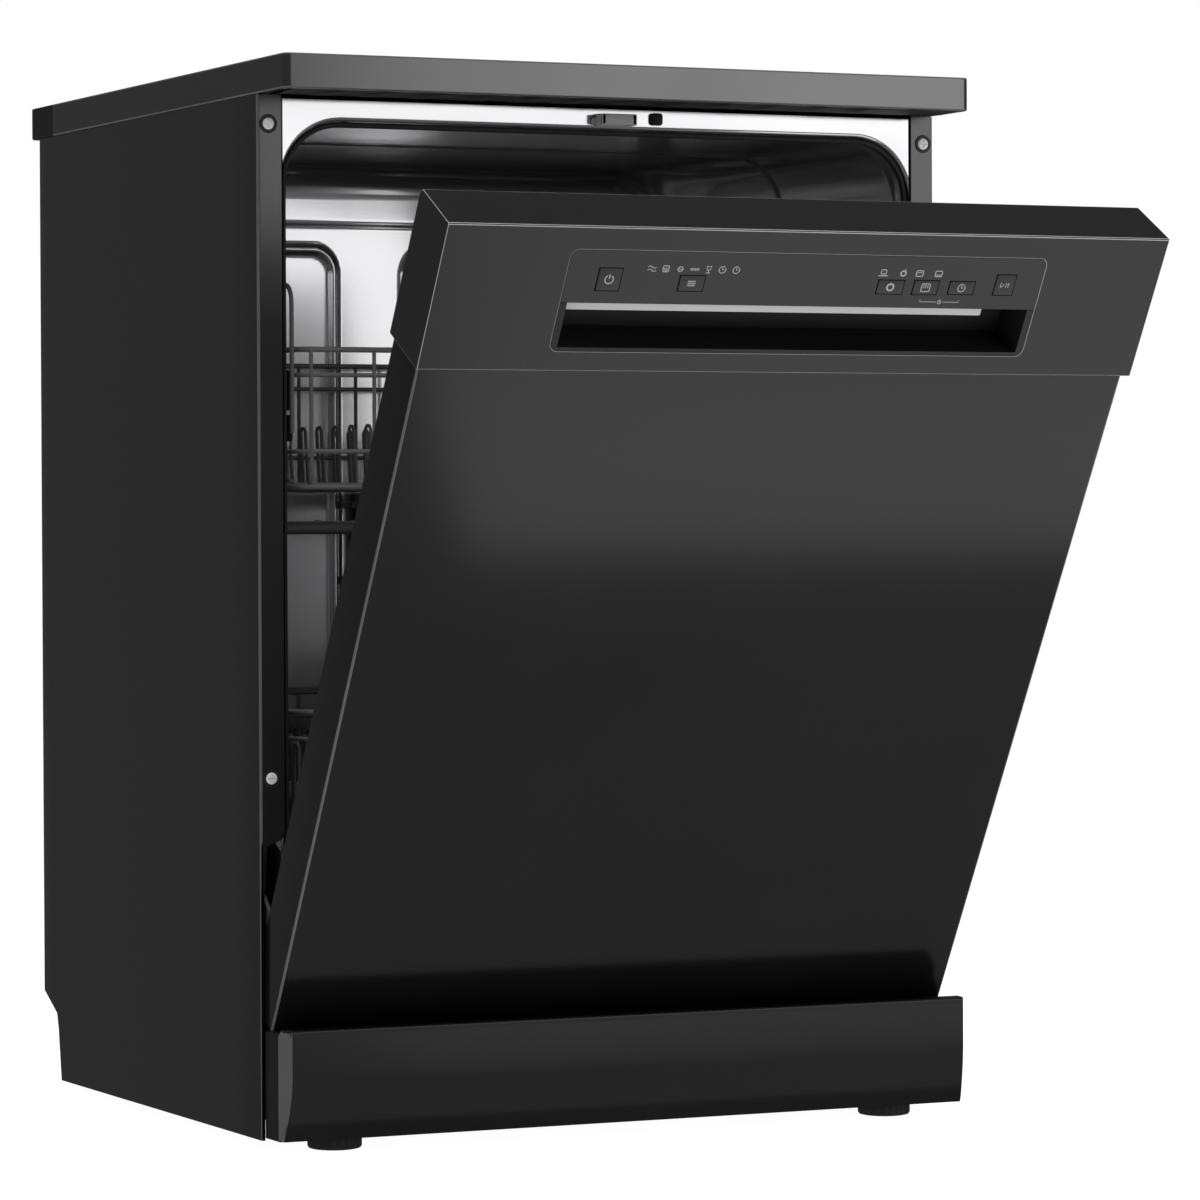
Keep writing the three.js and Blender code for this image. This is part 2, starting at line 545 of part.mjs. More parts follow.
const LINER_FLOOR = LINER_FACE - FIELD.depth + CLEAR;
const CUP = { x0: -84, x1: -14, z0: 262, z1: 330 };
function dispenser() {
  const { x0, x1, z0, z1 } = DISPENSER;
  return cut(joined(block(x0, x1, LINER_FLOOR, -14, z0, z1), block(x0 + 8, x1 - 8, -46, -16, z0 + 8, z1 - 8)),
    block(CUP.x0, CUP.x1, -38, -10, CUP.z0, CUP.z1));
}
add(door, 'dispenser_body', dispenser(), GREY_PLASTIC);

const LID = { x0: -89, x1: -9, z: 254, height: 82 };
add(door, 'dispenser_lid', block(LID.x0, LID.x1, 0, 4, 0, LID.height), GREY_PLASTIC)
  .position.set(0, -13.6, LID.z);
const RINSE = { x: 27, z: 292, radius: 19 };
add(door, 'rinse_aid_cap', joined(
  lengthways(RINSE.radius, 0, 0, 0, 4, 24), block(-2, 2, 2, 7, -15, 15),
), GREY_PLASTIC).position.set(RINSE.x, -13.6, RINSE.z);

for (const [hand, side] of SIDES) {
  const shape = outline([[7, -4], [7, 4], [2, 8], [-6, 10], [-14, 62], [-44, 62], [-44, -6],
    [-10, -8], [2, -8]]);
  const arm = cut(alongX(shape, ARM.inner, ARM.outer),
    crossways(PIN_RADIUS + 0.6, 0, 0, ARM.inner - 1, ARM.outer + 1, 20));
  add(door, `hinge_arm_${hand}`, side > 0 ? arm : mirrored(arm), ZINC_STEEL);
}

// ---- the origin: on the floor, in the middle of the outline with the door ajar ----
dishwasher.updateMatrixWorld(true);
const reach = new THREE.Box3().setFromObject(dishwasher, true);
dishwasher.position.set(0, -(reach.min.y + reach.max.y) / 2, 0);

export default dishwasher;
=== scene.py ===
"""A free-standing dishwasher with its door ajar: its looks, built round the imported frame."""
import math

import bmesh
import bpy
import numpy as np
from mathutils import Matrix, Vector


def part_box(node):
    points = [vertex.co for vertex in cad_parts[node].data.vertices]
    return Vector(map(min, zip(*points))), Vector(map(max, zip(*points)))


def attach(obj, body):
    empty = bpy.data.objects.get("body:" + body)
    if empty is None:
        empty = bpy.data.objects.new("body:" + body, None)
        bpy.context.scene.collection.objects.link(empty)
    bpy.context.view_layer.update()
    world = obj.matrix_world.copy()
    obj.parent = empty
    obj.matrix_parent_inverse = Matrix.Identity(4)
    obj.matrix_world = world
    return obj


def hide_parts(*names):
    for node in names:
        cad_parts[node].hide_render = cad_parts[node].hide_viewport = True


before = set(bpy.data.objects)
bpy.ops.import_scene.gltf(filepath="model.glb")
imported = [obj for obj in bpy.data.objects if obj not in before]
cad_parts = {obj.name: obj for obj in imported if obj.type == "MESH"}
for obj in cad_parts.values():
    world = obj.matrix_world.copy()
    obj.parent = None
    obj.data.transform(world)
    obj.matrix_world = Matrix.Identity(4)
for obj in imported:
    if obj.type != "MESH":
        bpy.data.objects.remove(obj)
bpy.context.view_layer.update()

# ---- Levelling feet -------------------------------------------------------------------------
# Four black nylon discs with a gripped rim, each on a threaded stem that screws up into the
# base tray. They are moulded in one piece.
MM = 0.001
FRONT_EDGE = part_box("worktop")[0].y  # depths are measured back from the worktop's front edge
AXES = {"x": (2, 0, 1), "y": (0, 2, 1), "z": (0, 1, 2)}  # where a shape's own axes go


def standing(points):
    """From millimetres behind the worktop's front edge to the frame: scaled, then moved back."""
    return points * MM + (0.0, FRONT_EDGE, 0.0)


def lofted(rings, loop=False, strip=False):
    """Skin over rings of equal count: point j of a ring joins point j of the next, and a ring's
    last point its first. The end rings are filled, or joined to each other in a loop. In a strip,
    whose second half runs back beside the first, each end is filled by quads across it."""
    m, k, _ = rings.shape
    i = np.arange(m if loop else m - 1)[:, None]
    j = np.arange(k)[None, :]
    on, up = (j + 1) % k, (i + 1) % m
    quads = np.stack([i * k + j, i * k + on, up * k + on, up * k + j], -1).reshape(-1, 4)
    ends = [] if loop else [np.arange(k)[::-1], np.arange((m - 1) * k, m * k)]
    if strip:
        cells = [np.array([n, n + 1, k - 2 - n, k - 1 - n]) for n in range(k // 2 - 1)]
        ends = [c[::-1] for c in cells] + [c + (m - 1) * k for c in cells]
    return outward(rings.reshape(-1, 3), quads, ends)


def outward(points, quads, ends):
    """Turns every face over if the enclosed volume, a sixth of the sum of a . (b x c) over the
    faces' triangles, comes out negative."""
    fans = [np.column_stack([np.full(len(e) - 2, e[0]), e[1:-1], e[2:]]) for e in ends]
    triangles = np.concatenate([quads[:, [0, 1, 2]], quads[:, [0, 2, 3]], *fans])
    a, b, c = (points[triangles[:, n]] for n in range(3))
    if np.einsum("ij,ij->", a, np.cross(b, c)) < 0:
        return points, quads[:, ::-1], [e[::-1] for e in ends]
    return points, quads, ends


def revolved(profile, centre=(0, 0, 0), axis="z", sides=40, loop=False):
    """Turned round an axis: (r cos t, r sin t, h) for each (r, h) of the profile."""
    r, h = np.array(profile, float).T
    t = np.arange(sides) * 2 * math.pi / sides
    rings = np.stack([np.outer(r, np.cos(t)), np.outer(r, np.sin(t)),
                      np.repeat(h[:, None], sides, 1)], -1)
    return lofted(rings[..., AXES[axis]] + np.array(centre, float), loop)


def made(name, shells, body, nodes, coat, place=standing, crease=35):
    """Puts shells of (points, quads, end faces) into one mesh that rides on a body, stands for
    its CAD nodes and is smooth up to the crease angle."""
    points, faces, start = [], [], 0
    for shell, quads, ends in shells:
        points.append(shell)
        faces += (quads + start).tolist() + [(e + start).tolist() for e in ends]
        start += len(shell)
    mesh = bpy.data.meshes.new(name)
    mesh.from_pydata(place(np.concatenate(points)).tolist(), [], faces)
    mesh.materials.append(coat)
    mesh.polygons.foreach_set("use_smooth", [True] * len(faces))
    mesh.set_sharp_from_angle(angle=math.radians(crease))
    piece = bpy.data.objects.new(name, mesh)
    bpy.context.scene.collection.objects.link(piece)
    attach(piece, body)
    if nodes:
        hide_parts(*nodes)
    return piece


def coat(name, shade, second, rough, spread, metal=0.0, shine=0.5, grain=900.0, depth=0.02,
         cloud=6.0, stretch=(1, 1, 1), tilt=0.0, wave=0.0, wave_scale=8.0, ior=1.5):
    """A finish: two near shades and a roughness that drift with a broad noise, under a fine grain
    noise for the bump, both read in Object coordinates, and a long wave where the sheet is thin."""
    made_of = bpy.data.materials.new(name)
    made_of.use_nodes = True
    nodes, links = made_of.node_tree.nodes, made_of.node_tree.links
    shader = nodes["Principled BSDF"]
    shader.inputs["Metallic"].default_value = metal
    shader.inputs["Specular IOR Level"].default_value = shine
    shader.inputs["IOR"].default_value = ior
    place = nodes.new("ShaderNodeTexCoord")
    turn = nodes.new("ShaderNodeMapping")
    turn.inputs["Scale"].default_value = stretch
    turn.inputs["Rotation"].default_value = (tilt, 0, 0)
    links.new(place.outputs["Object"], turn.inputs["Vector"])
    broad = nodes.new("ShaderNodeTexNoise")
    broad.inputs["Scale"].default_value = cloud
    broad.inputs["Detail"].default_value = 6
    fine = nodes.new("ShaderNodeTexNoise")
    fine.inputs["Scale"].default_value = grain
    fine.inputs["Detail"].default_value = 3
    for noise in (broad, fine):
        links.new(turn.outputs["Vector"], noise.inputs["Vector"])
    ramp = nodes.new("ShaderNodeValToRGB")
    ramp.color_ramp.elements[0].position, ramp.color_ramp.elements[1].position = 0.3, 0.7
    ramp.color_ramp.elements[0].color = (*shade, 1)
    ramp.color_ramp.elements[1].color = (*second, 1)
    links.new(broad.outputs["Fac"], ramp.inputs["Fac"])
    links.new(ramp.outputs["Color"], shader.inputs["Base Color"])
    reach = nodes.new("ShaderNodeMapRange")
    reach.inputs["From Min"].default_value, reach.inputs["From Max"].default_value = 0.3, 0.7
    reach.inputs["To Min"].default_value = rough - spread
    reach.inputs["To Max"].default_value = rough + spread
    links.new(broad.outputs["Fac"], reach.inputs["Value"])
    links.new(reach.outputs["Result"], shader.inputs["Roughness"])
    bump = nodes.new("ShaderNodeBump")
    bump.inputs["Strength"].default_value = 1.0
    bump.inputs["Distance"].default_value = depth * MM
    links.new(fine.outputs["Fac"], bump.inputs["Height"])
    if wave:
        long_wave = nodes.new("ShaderNodeTexNoise")
        long_wave.inputs["Scale"].default_value = wave_scale
        long_wave.inputs["Detail"].default_value = 1
        links.new(place.outputs["Object"], long_wave.inputs["Vector"])
        swell = nodes.new("ShaderNodeBump")
        swell.inputs["Distance"].default_value = wave * MM
        links.new(long_wave.outputs["Fac"], swell.inputs["Height"])
        links.new(swell.outputs["Normal"], bump.inputs["Normal"])
    links.new(bump.outputs["Normal"], shader.inputs["Normal"])
    return made_of


def grey(value):
    return (value, value, value * 1.02)


def edged(piece, second, chosen):
    """Gives the chosen faces of a piece a second finish."""
    piece.data.materials.append(second)
    piece.data.polygons.foreach_set("material_index", np.asarray(chosen, int).tolist())


black_nylon = coat("black_nylon", grey(0.010), grey(0.014), 0.5, 0.06, grain=1400, depth=0.03)
FEET = {"front_left": (-242.6, 47.0), "front_right": (242.6, 47.0),
        "rear_left": (-242.6, 500.0), "rear_right": (242.6, 500.0)}


def gripped_disc(x, y):
    """The foot's disc: a rounded profile whose rim dips in 1 mm at each of 20 finger grooves,
    radius times (1 - groove) where groove follows the cosine of 20 t."""
    profile = np.array([(0.2, 0.3), (17.5, 0), (20.2, 0.6), (21.3, 2.2), (21.3, 9.4), (20.6, 11.2),
                        (18.8, 12), (12.4, 12), (11.6, 11), (7.5, 11), (7.2, 12.2), (0.2, 12.2)])
    t = np.arange(160) * 2 * math.pi / 160
    rim = np.clip((profile[:, 0] - 18) / 3.3, 0, 1)[:, None]
    r = profile[:, :1] - 1.0 * rim * (0.5 + 0.5 * np.cos(20 * t)) ** 2
    h = np.broadcast_to(profile[:, 1:], r.shape)
    return lofted(np.stack([x + r * np.cos(t), y + r * np.sin(t), h], -1))


def thread(x, y, radius, z0, z1, pitch):
    """A screw thread: radius plus 0.45 mm times the cosine of (height over pitch minus turn)."""
    t = np.arange(24) * 2 * math.pi / 24
    z = np.linspace(z0, z1, int((z1 - z0) * 6 / pitch))[:, None]
    r = radius - 0.45 + 0.45 * np.cos(2 * math.pi * z / pitch - t)
    return lofted(np.stack([x + r * np.cos(t), y + r * np.sin(t), z + 0 * t], -1))


for place, (x, y) in FEET.items():
    made(f"levelling_foot_{place}", [gripped_disc(x, y), thread(x, y, 5.0, 10, 61, 2.0)],
         f"foot_{place}", [f"foot_{place}"], black_nylon)

# ---- Base tray and what stands in it --------------------------------------------------------
# A black polypropylene tray carries the machine. The pumps, the softener and the inlet valve
# are white mouldings clipped into it, and the sump hangs from the tub above.


def from_frame(name, node, body, finish, edge=0.4, crease=30, steps=2, highlight_finish=None):
    """A copy of a CAD node with its points merged, its flat faces joined up and its sharp edges
    rounded by edge millimetres, which take a second finish, a painted highlight, when one is given."""
    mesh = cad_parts[node].data.copy()
    mesh.name = name
    work = bmesh.new()
    work.from_mesh(mesh)
    bmesh.ops.remove_doubles(work, verts=work.verts, dist=2e-6)
    bmesh.ops.dissolve_limit(work, angle_limit=math.radians(1), verts=work.verts, edges=work.edges)
    work.to_mesh(mesh)
    work.free()
    mesh.materials.clear()
    mesh.materials.append(finish)
    mesh.polygons.foreach_set("use_smooth", [True] * len(mesh.polygons))
    mesh.set_sharp_from_angle(angle=math.radians(crease))
    piece = bpy.data.objects.new(name, mesh)
    bpy.context.scene.collection.objects.link(piece)
    rounding = piece.modifiers.new("rounding", "BEVEL")
    rounding.width = edge * MM
    rounding.segments = steps
    rounding.limit_method = "ANGLE"
    rounding.angle_limit = math.radians(crease)
    rounding.harden_normals = True
    if highlight_finish:
        mesh.materials.append(highlight_finish)
        rounding.material = 1
    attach(piece, body)
    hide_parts(node)
    return piece


moulded_black = coat("moulded_black", grey(0.006), grey(0.009), 0.52, 0.06, grain=1100, depth=0.04)
moulded_white = coat("moulded_white", (0.62, 0.63, 0.61), (0.70, 0.71, 0.69), 0.42, 0.05,
                     grain=1100, depth=0.02)
for node in ("base_tray", "sump"):
    from_frame(node + "_moulding", node, "cabinet", moulded_black, 0.6)
for node in ("wash_pump", "drain_pump", "softener", "inlet_valve"):
    from_frame(node + "_housing", node, "cabinet", moulded_white, 0.8)

# ---- Tub ------------------------------------------------------------------------------------
# A bright stainless wrap bent from one sheet, with a pressed back wall and a flat front frame
# that the side panels are screwed over. The ribs are pressed in to stiffen it.
TUB_HALF, TUB_FLOOR, TUB_TOP, TUB_FRONT, TUB_BACK = 277.0, 190.0, 799.0, 61.6, 555.0
BACK_ROUND = 30.0


def outlined(a0, a1, b0, b1, radii, steps=8, along=1):
    """A rectangle's outline, anticlockwise from the right: each corner a quarter circle,
    centre + radius (cos t, sin t), and each straight side in equal parts."""
    radii = [max(r, 0.01) for r in (radii if np.iterable(radii) else [radii] * 4)]
    t = np.linspace(0, math.pi / 2, steps + 1)
    corners = []
    for n, (a, b, r) in enumerate(zip((a1, a0, a0, a1), (b1, b1, b0, b0), radii)):
        inward = np.array([(-1, -1), (1, -1), (1, 1), (-1, 1)][n]) * r
        turn = t + n * math.pi / 2
        corners.append(np.column_stack([np.cos(turn), np.sin(turn)]) * r + (a, b) + inward)
    share = np.arange(1, along)[:, None] / along
    sides = [corners[n][-1] * (1 - share) + corners[(n + 1) % 4][0] * share for n in range(4)]
    return np.concatenate([part for pair in zip(corners, sides) for part in pair])


def mouth(inset, y):
    """The tub's round-cornered section, drawn in by inset, at depth y."""
    high, low = 50.0 - inset, max(12.0 - inset, 2.0)
    flat = outlined(-TUB_HALF + inset, TUB_HALF - inset, TUB_FLOOR + inset, TUB_TOP - inset,
                    (high, high, low, low), steps=12, along=24)
    return np.column_stack([flat[:, 0], np.full(len(flat), y), flat[:, 1]])


def beaded(inset, y):
    """The section drawn in by a bead on the walls and ceiling, flat on the floor."""
    plain, drawn = mouth(0.0, y), mouth(inset, y)
    share = np.clip((plain[:, 2:] - TUB_FLOOR - 20) / 40, 0, 1)
    return plain + (drawn - plain) * share


def front_frame():
    """The frame's outer edge, point for point with the mouth, narrower under the hinges."""
    flat = outlined(-296.4, 296.4, 174.5, 815.0, 0.5, steps=12, along=24)
    x = np.where(flat[:, 1] < 246, np.clip(flat[:, 0], -278.6, 278.6), flat[:, 0])
    return np.column_stack([x, np.full(len(flat), TUB_FRONT), flat[:, 1]])


def tub_wrap():
    """Rings from the frame's outer edge to the mouth, over a 3 mm bend, back along the tub with
    a bead where cos^2 lifts the wall inwards, and round a quarter circle into the back wall."""
    t = np.linspace(0, math.pi / 2, 6)
    lip = [(-3 * (1 - math.sin(a)), TUB_FRONT + 3 * (1 - math.cos(a))) for a in t]
    depth = np.unique(np.concatenate([np.linspace(66, TUB_BACK - BACK_ROUND, 60),
                                      np.linspace(82, 98, 17), np.linspace(284, 300, 17)]))
    bead = sum(1.8 * np.cos(np.clip((depth - y) / 7, -1, 1) * math.pi / 2) ** 2 for y in (90, 292))
    wall = list(zip(bead, depth))
    turn = np.linspace(0, math.pi / 2, 12)[1:]
    back = [(BACK_ROUND * (1 - math.cos(a)), TUB_BACK - BACK_ROUND * (1 - math.sin(a)))
            for a in turn]
    rings = np.stack([front_frame(), *(mouth(i, y) for i, y in lip),
                      *(beaded(i, y) for i, y in wall), *(mouth(i, y) for i, y in back)])
    m, k, _ = rings.shape
    i, j = np.arange(m - 1)[:, None], np.arange(k)[None, :]
    on = (j + 1) % k
    quads = np.stack([i * k + j, (i + 1) * k + j, (i + 1) * k + on, i * k + on], -1).reshape(-1, 4)
    middle = rings.reshape(-1, 3)[quads].mean(1)
    well = np.hypot(middle[:, 0], middle[:, 1] - 300) < 160
    neck = np.hypot(middle[:, 0] + 185, middle[:, 1] - 205) < 26
    return rings.reshape(-1, 3), quads[~((middle[:, 2] < TUB_FLOOR + 2) & (well | neck))], []


def to_rectangle(x, z, x0, x1, z0, z1, radius):
    """Signed distance to a round-cornered rectangle: the length of the part of the point's
    offset beyond the corner's centre, less the radius."""
    dx = np.abs(x - (x0 + x1) / 2) - (x1 - x0) / 2 + radius
    dz = np.abs(z - (z0 + z1) / 2) - (z1 - z0) / 2 + radius
    outside = np.hypot(np.maximum(dx, 0), np.maximum(dz, 0))
    return outside + np.minimum(np.maximum(dx, dz), 0) - radius


def open_grid(points):
    """Quads over an open grid of points (rows, columns, xyz)."""
    m, n, _ = points.shape
    i, j = np.arange(m - 1)[:, None], np.arange(n - 1)[None, :]
    quads = np.stack([i * n + j, i * n + j + 1, (i + 1) * n + j + 1, (i + 1) * n + j], -1)
    return points.reshape(-1, 3), quads.reshape(-1, 4), []


def back_wall():
    """The back wall: a flat grid moved forward by a rounded bead that follows the edge of each
    of two panels, and by a step under the ceiling's curve."""
    x, z = np.meshgrid(np.linspace(-248, 248, 249), np.linspace(200, 770, 286))
    lift = np.zeros_like(x)
    for x0, x1 in ((-236.0, -32.5), (36.5, 236.0)):
        edge = to_rectangle(x, z, x0, x1, 250.0, 726.0, 20.0)
        lift += 3.6 * np.cos(np.clip(edge / 6.5, -1, 1) * math.pi / 2) ** 2
    step = np.clip((z - 745) / 6, 0, 1)
    lift += 2.2 * step * step * (3 - 2 * step)
    return open_grid(np.stack([x, TUB_BACK - lift, z], -1))


def tub_floor_well():
    """The floor falls 3 mm towards the sump in a soft funnel, depth times (1 - r over reach)^2,
    and a flat collar stands round the salt neck."""
    t = np.arange(73) % 72 * math.pi / 36
    r = np.array([121.5, 123, 126, 130, 135, 141, 148, 155, 165, 180, 190])[:, None]
    z = TUB_FLOOR + 0.6 - 3.0 * np.clip(1 - (r - 121.5) / 30, 0, 1) ** 2
    funnel = open_grid(np.stack([r * np.cos(t), 300 + r * np.sin(t), z + 0 * t], -1))
    r = np.array([34.0, 36.0, 46.0, 50.0])[:, None]
    z = TUB_FLOOR + np.array([0.2, 0.9, 0.9, 0.3])[:, None]
    return funnel, open_grid(np.stack([r * np.cos(t) - 185, 205 + r * np.sin(t), z + 0 * t], -1))


def dimple(x, y):
    """A weld dimple under the lip: a cap of a sphere, 1.2 mm proud and 4 mm across."""
    return revolved([(0.05, TUB_TOP - 1.4), (1.4, TUB_TOP - 1.15), (2.6, TUB_TOP - 0.6),
                     (3.4, TUB_TOP + 0.3)], (x, y, 0), sides=16)


bright_steel = coat("bright_steel", grey(0.66), grey(0.74), 0.14, 0.03, metal=0.94, grain=700,
                    depth=0.0015, cloud=5, stretch=(1, 1, 0.25), wave=1.1, wave_scale=7.0)
made("tub_shell", [tub_wrap(), back_wall(), *tub_floor_well(),
                   *(dimple(x, 72.0) for x in (-220.0, -75.0, 68.0, 205.0))],
     "cabinet", ["tub"], bright_steel, crease=50)

# ---- Gasket and sill seal -------------------------------------------------------------------
# Black silicone: a round bulb with a fin pressed in round the mouth, and a flat lip under it.


def bent(corners, radius, steps=6, loop=False):
    """A path through corners, each rounded: corner + r (u (1 - sin t) + v (1 - cos t)), where u
    and v point to the corners before and after."""
    c = np.array(corners, float)
    to_last, to_next = np.roll(c, 1, 0) - c, np.roll(c, -1, 0) - c
    u = to_last / np.linalg.norm(to_last, axis=1, keepdims=True)
    v = to_next / np.linalg.norm(to_next, axis=1, keepdims=True)
    r = np.broadcast_to(np.array(radius, float), len(c))[:, None, None]
    t = np.linspace(0, math.pi / 2, steps + 1)[None, :, None]
    curve = c[:, None] + r * (u[:, None] * (1 - np.sin(t)) + v[:, None] * (1 - np.cos(t)))
    if loop:
        return curve.reshape(-1, 3)
    return np.vstack([c[:1], curve[1:-1].reshape(-1, 3), c[-1:]])


def rod(path, radius, across, sides=10, loop=False):
    """A bar along a path: path point + r1 cos t across + r2 sin t (across x direction)."""
    ahead = np.roll(path, -1, 0) - np.roll(path, 1, 0)
    if not loop:
        ahead[0], ahead[-1] = path[1] - path[0], path[-1] - path[-2]
    across = np.array(across, float)
    side = np.cross(across, ahead)
    side /= np.linalg.norm(side, axis=1, keepdims=True)
    r1, r2 = radius if np.iterable(radius) else (radius, radius)
    t = np.arange(sides) * 2 * math.pi / sides
    rings = path[:, None] + r1 * np.cos(t)[None, :, None] * across
    return lofted(rings + r2 * np.sin(t)[None, :, None] * side[:, None], loop)


silicone = coat("silicone", grey(0.010), grey(0.016), 0.6, 0.08, shine=0.35, grain=700, depth=0.03)
around_mouth = [(-274.2, 66.8, 213), (-274.2, 66.8, 796.2), (274.2, 66.8, 796.2),
                (274.2, 66.8, 213)]
made("door_gasket", [
    rod(bent(around_mouth, 47.2, 14), (2.9, 2.2), (0, 1, 0), 14),
    rod(bent([(p[0], 64.4, p[2]) for p in around_mouth], 47.2, 14), (0.8, 1.6), (0, 1, 0), 10),
], "cabinet", ["tub_gasket"], silicone)
from_frame("sill_lip", "sill_seal", "cabinet", silicone, 1.2, steps=3)

# ---- Filter and sump cover ------------------------------------------------------------------
# A perforated stainless plate over the sump with a plastic filter cup turned into it by its bar.
grey_plastic = coat("grey_plastic", grey(0.16), grey(0.20), 0.42, 0.05, grain=1000, depth=0.03)


def perforated():
    """Bright steel with round holes painted on: a Voronoi cell's distance to its centre, cut at a
    radius, darkens the colour inside it, a painted shade that stands for the holes."""
    finish = bright_steel.copy()
    finish.name = "perforated_steel"
    nodes, links = finish.node_tree.nodes, finish.node_tree.links
    shader = nodes["Principled BSDF"]
    cells = nodes.new("ShaderNodeTexVoronoi")
    cells.inputs["Scale"].default_value = 260
    cells.inputs["Randomness"].default_value = 0.0
    links.new(nodes["Texture Coordinate"].outputs["Object"], cells.inputs["Vector"])
    # Inside each circle the colour goes near black, a painted shade standing for the hole.
    hole_shade = nodes.new("ShaderNodeMath")
    hole_shade.operation = "GREATER_THAN"
    hole_shade.inputs[1].default_value = 0.34
    links.new(cells.outputs["Distance"], hole_shade.inputs[0])
    mix = nodes.new("ShaderNodeMix")
    mix.data_type = "RGBA"
    mix.inputs["A"].default_value = (0.02, 0.02, 0.02, 1)
    links.new(hole_shade.outputs["Value"], mix.inputs["Factor"])
    links.new(nodes["Color Ramp"].outputs["Color"], mix.inputs["B"])
    links.new(mix.outputs["Result"], shader.inputs["Base Color"])
    return finish


from_frame("filter_plate_sheet", "filter_plate", "cabinet", perforated(), 0.5)


def slab(a0, a1, b0, b1, c0, c1, corner, edge, lying="z", steps=5):
    """A plate with rounded corners and edges: its outline draws in by edge (1 - sin t) as it
    leaves each face by edge (1 - cos t)."""
    t = np.linspace(0, math.pi / 2, 4)
    inset = np.concatenate([edge * (1 - np.sin(t)), edge * (1 - np.sin(t))[::-1]])
    level = np.concatenate([c0 + edge * (1 - np.cos(t)), (c1 - edge * (1 - np.cos(t)))[::-1]])
    rings = [np.column_stack([outlined(a0 + i, a1 - i, b0 + i, b1 - i, corner - i, steps),
                              np.full(4 * steps + 4, c)]) for i, c in zip(inset, level)]
    return lofted(np.stack(rings)[..., AXES[lying]])


made("filter_cup", [
    revolved([(0.2, 110), (30, 110), (32.5, 112), (34, 184), (38.4, 184), (39, 184.6), (39, 187.4),
              (38.4, 188), (31, 188), (30, 187), (28, 114), (0.2, 114)], (50, 250, 0)),
    slab(17.5, 82.5, 247.4, 252.6, 182, 196, 2.5, 1.2),
    *(revolved([(33.2, z), (34.6, z + 0.8), (33.2, z + 1.6)], (50, 250, 0), loop=True)
      for z in range(120, 180, 8)),
], "filter_cylinder", ["filter_cylinder"], grey_plastic)
made("salt_lid", [
    revolved([(0.2, 178), (33, 178), (33.5, 178.5), (33.5, 192.5), (36.4, 192.5), (37, 193.2),
              (37, 197), (36, 198), (26, 198), (25, 196.4), (0.2, 196.4)], (-185, 205, 0)),
    slab(-208, -162, 202, 208, 194.5, 198, 2.9, 0.9),
], "salt_cap", ["salt_cap"], grey_plastic)

# ---- Spray feed and lower spray arm ---------------------------------------------------------
# Grey polypropylene. A flat pipe climbs the back wall to a socket that the upper rack's duct
# pushes into, and the arms are two welded halves that spin on their hubs.


def blade(reach, half, z0, z1, x=0.0, y=300.0):
    """A spray arm: at share u of its reach, a rounded section whose half width is
    half (0.62 + 0.38 (1 - u^2)) closing to nothing over the last 8%, and whose height tapers."""
    u = np.sin(np.linspace(-math.pi / 2, math.pi / 2, 61))[:, None]
    tip = np.sqrt(np.clip(1 - np.clip((np.abs(u) - 0.88) / 0.12, 0, 1) ** 2, 0.002, 1))
    width = half * (0.60 + 0.40 * (1 - u * u)) * tip
    t = np.arange(28) * 2 * math.pi / 28
    flat = np.sign(np.cos(t)) * np.abs(np.cos(t)) ** 0.7
    tall = np.sign(np.sin(t)) * np.abs(np.sin(t)) ** 0.7
    middle, height = (z0 + z1) / 2, (z1 - z0) / 2 * (0.86 + 0.14 * tip)
    bow = 1.5 * np.sin(2.2 * u)
    return lofted(np.stack([x + reach * u + 0 * t, y + bow + width * flat,
                            middle + height * tall * (0.9 + 0.1 * tip)], -1))


def nozzles(reach, z, places):
    """Raised jet holes along an arm: a low ring at each share of the reach."""
    return [revolved([(1.3, z - 0.8), (3.4, z - 0.8), (3.0, z + 0.7), (1.7, z + 0.7)],
                     (reach * u, 300 + v, 0), sides=14, loop=True) for u, v in places]


JETS = [(-0.9, 0), (-0.74, 3), (-0.58, -4), (-0.4, 5), (-0.24, -6),
        (0.24, 6), (0.4, -5), (0.58, 4), (0.74, -3), (0.9, 0)]
made("lower_arm", [
    blade(221, 25.5, 204, 216), *nozzles(221, 216.0, JETS),
    revolved([(14.4, 204.5), (25.5, 204.5), (26, 206), (26, 215.5), (22, 219), (18, 220),
              (9, 220), (8, 217), (14.4, 216)], (0, 300, 0), loop=True),
], "lower_spray_arm", ["lower_spray_arm"], grey_plastic)
made("spray_feed", [
    slab(-15, 15, 533.4, 552, 190.6, 511.6, 5.5, 2.5, "z"),
    *(slab(-16, 16, z, z + 7, 532, 554.4, 2, 0.8, "y") for z in (230, 330, 430, 497)),
    revolved([(6, 524.6), (9.5, 524.6), (10, 526), (10, 536), (6, 536)], (0, 0, 496), "y",
             loop=True),
], "cabinet", ["spray_feed_tube"], grey_plastic)

# ---- Hinges and door springs ----------------------------------------------------------------
# Zinc-plated pressed plates carry the pins. A tension spring each side balances the door.
zinc = coat("zinc_plate", (0.17, 0.175, 0.17), (0.24, 0.24, 0.235), 0.36, 0.08, metal=0.7, grain=420,
            depth=0.01, cloud=55)


def coil(x, z, y0, y1, radius, wire, turns):
    """A tension spring along y: a helix of close turns; its straight end hooks are drawn apart from
    it.
    """
    a = np.linspace(0, 2 * math.pi * turns, turns * 14)
    path = np.column_stack([x + radius * np.cos(a), np.linspace(y0, y1, len(a)),
                            z + radius * np.sin(a)])
    t = np.arange(6) * math.pi / 3
    round_axis = np.column_stack([np.cos(a), 0 * a, np.sin(a)])
    rings = path[:, None] + wire * (np.cos(t)[None, :, None] * round_axis[:, None]
                                    + np.sin(t)[None, :, None] * np.array([0, 1, 0]))
    return lofted(rings)


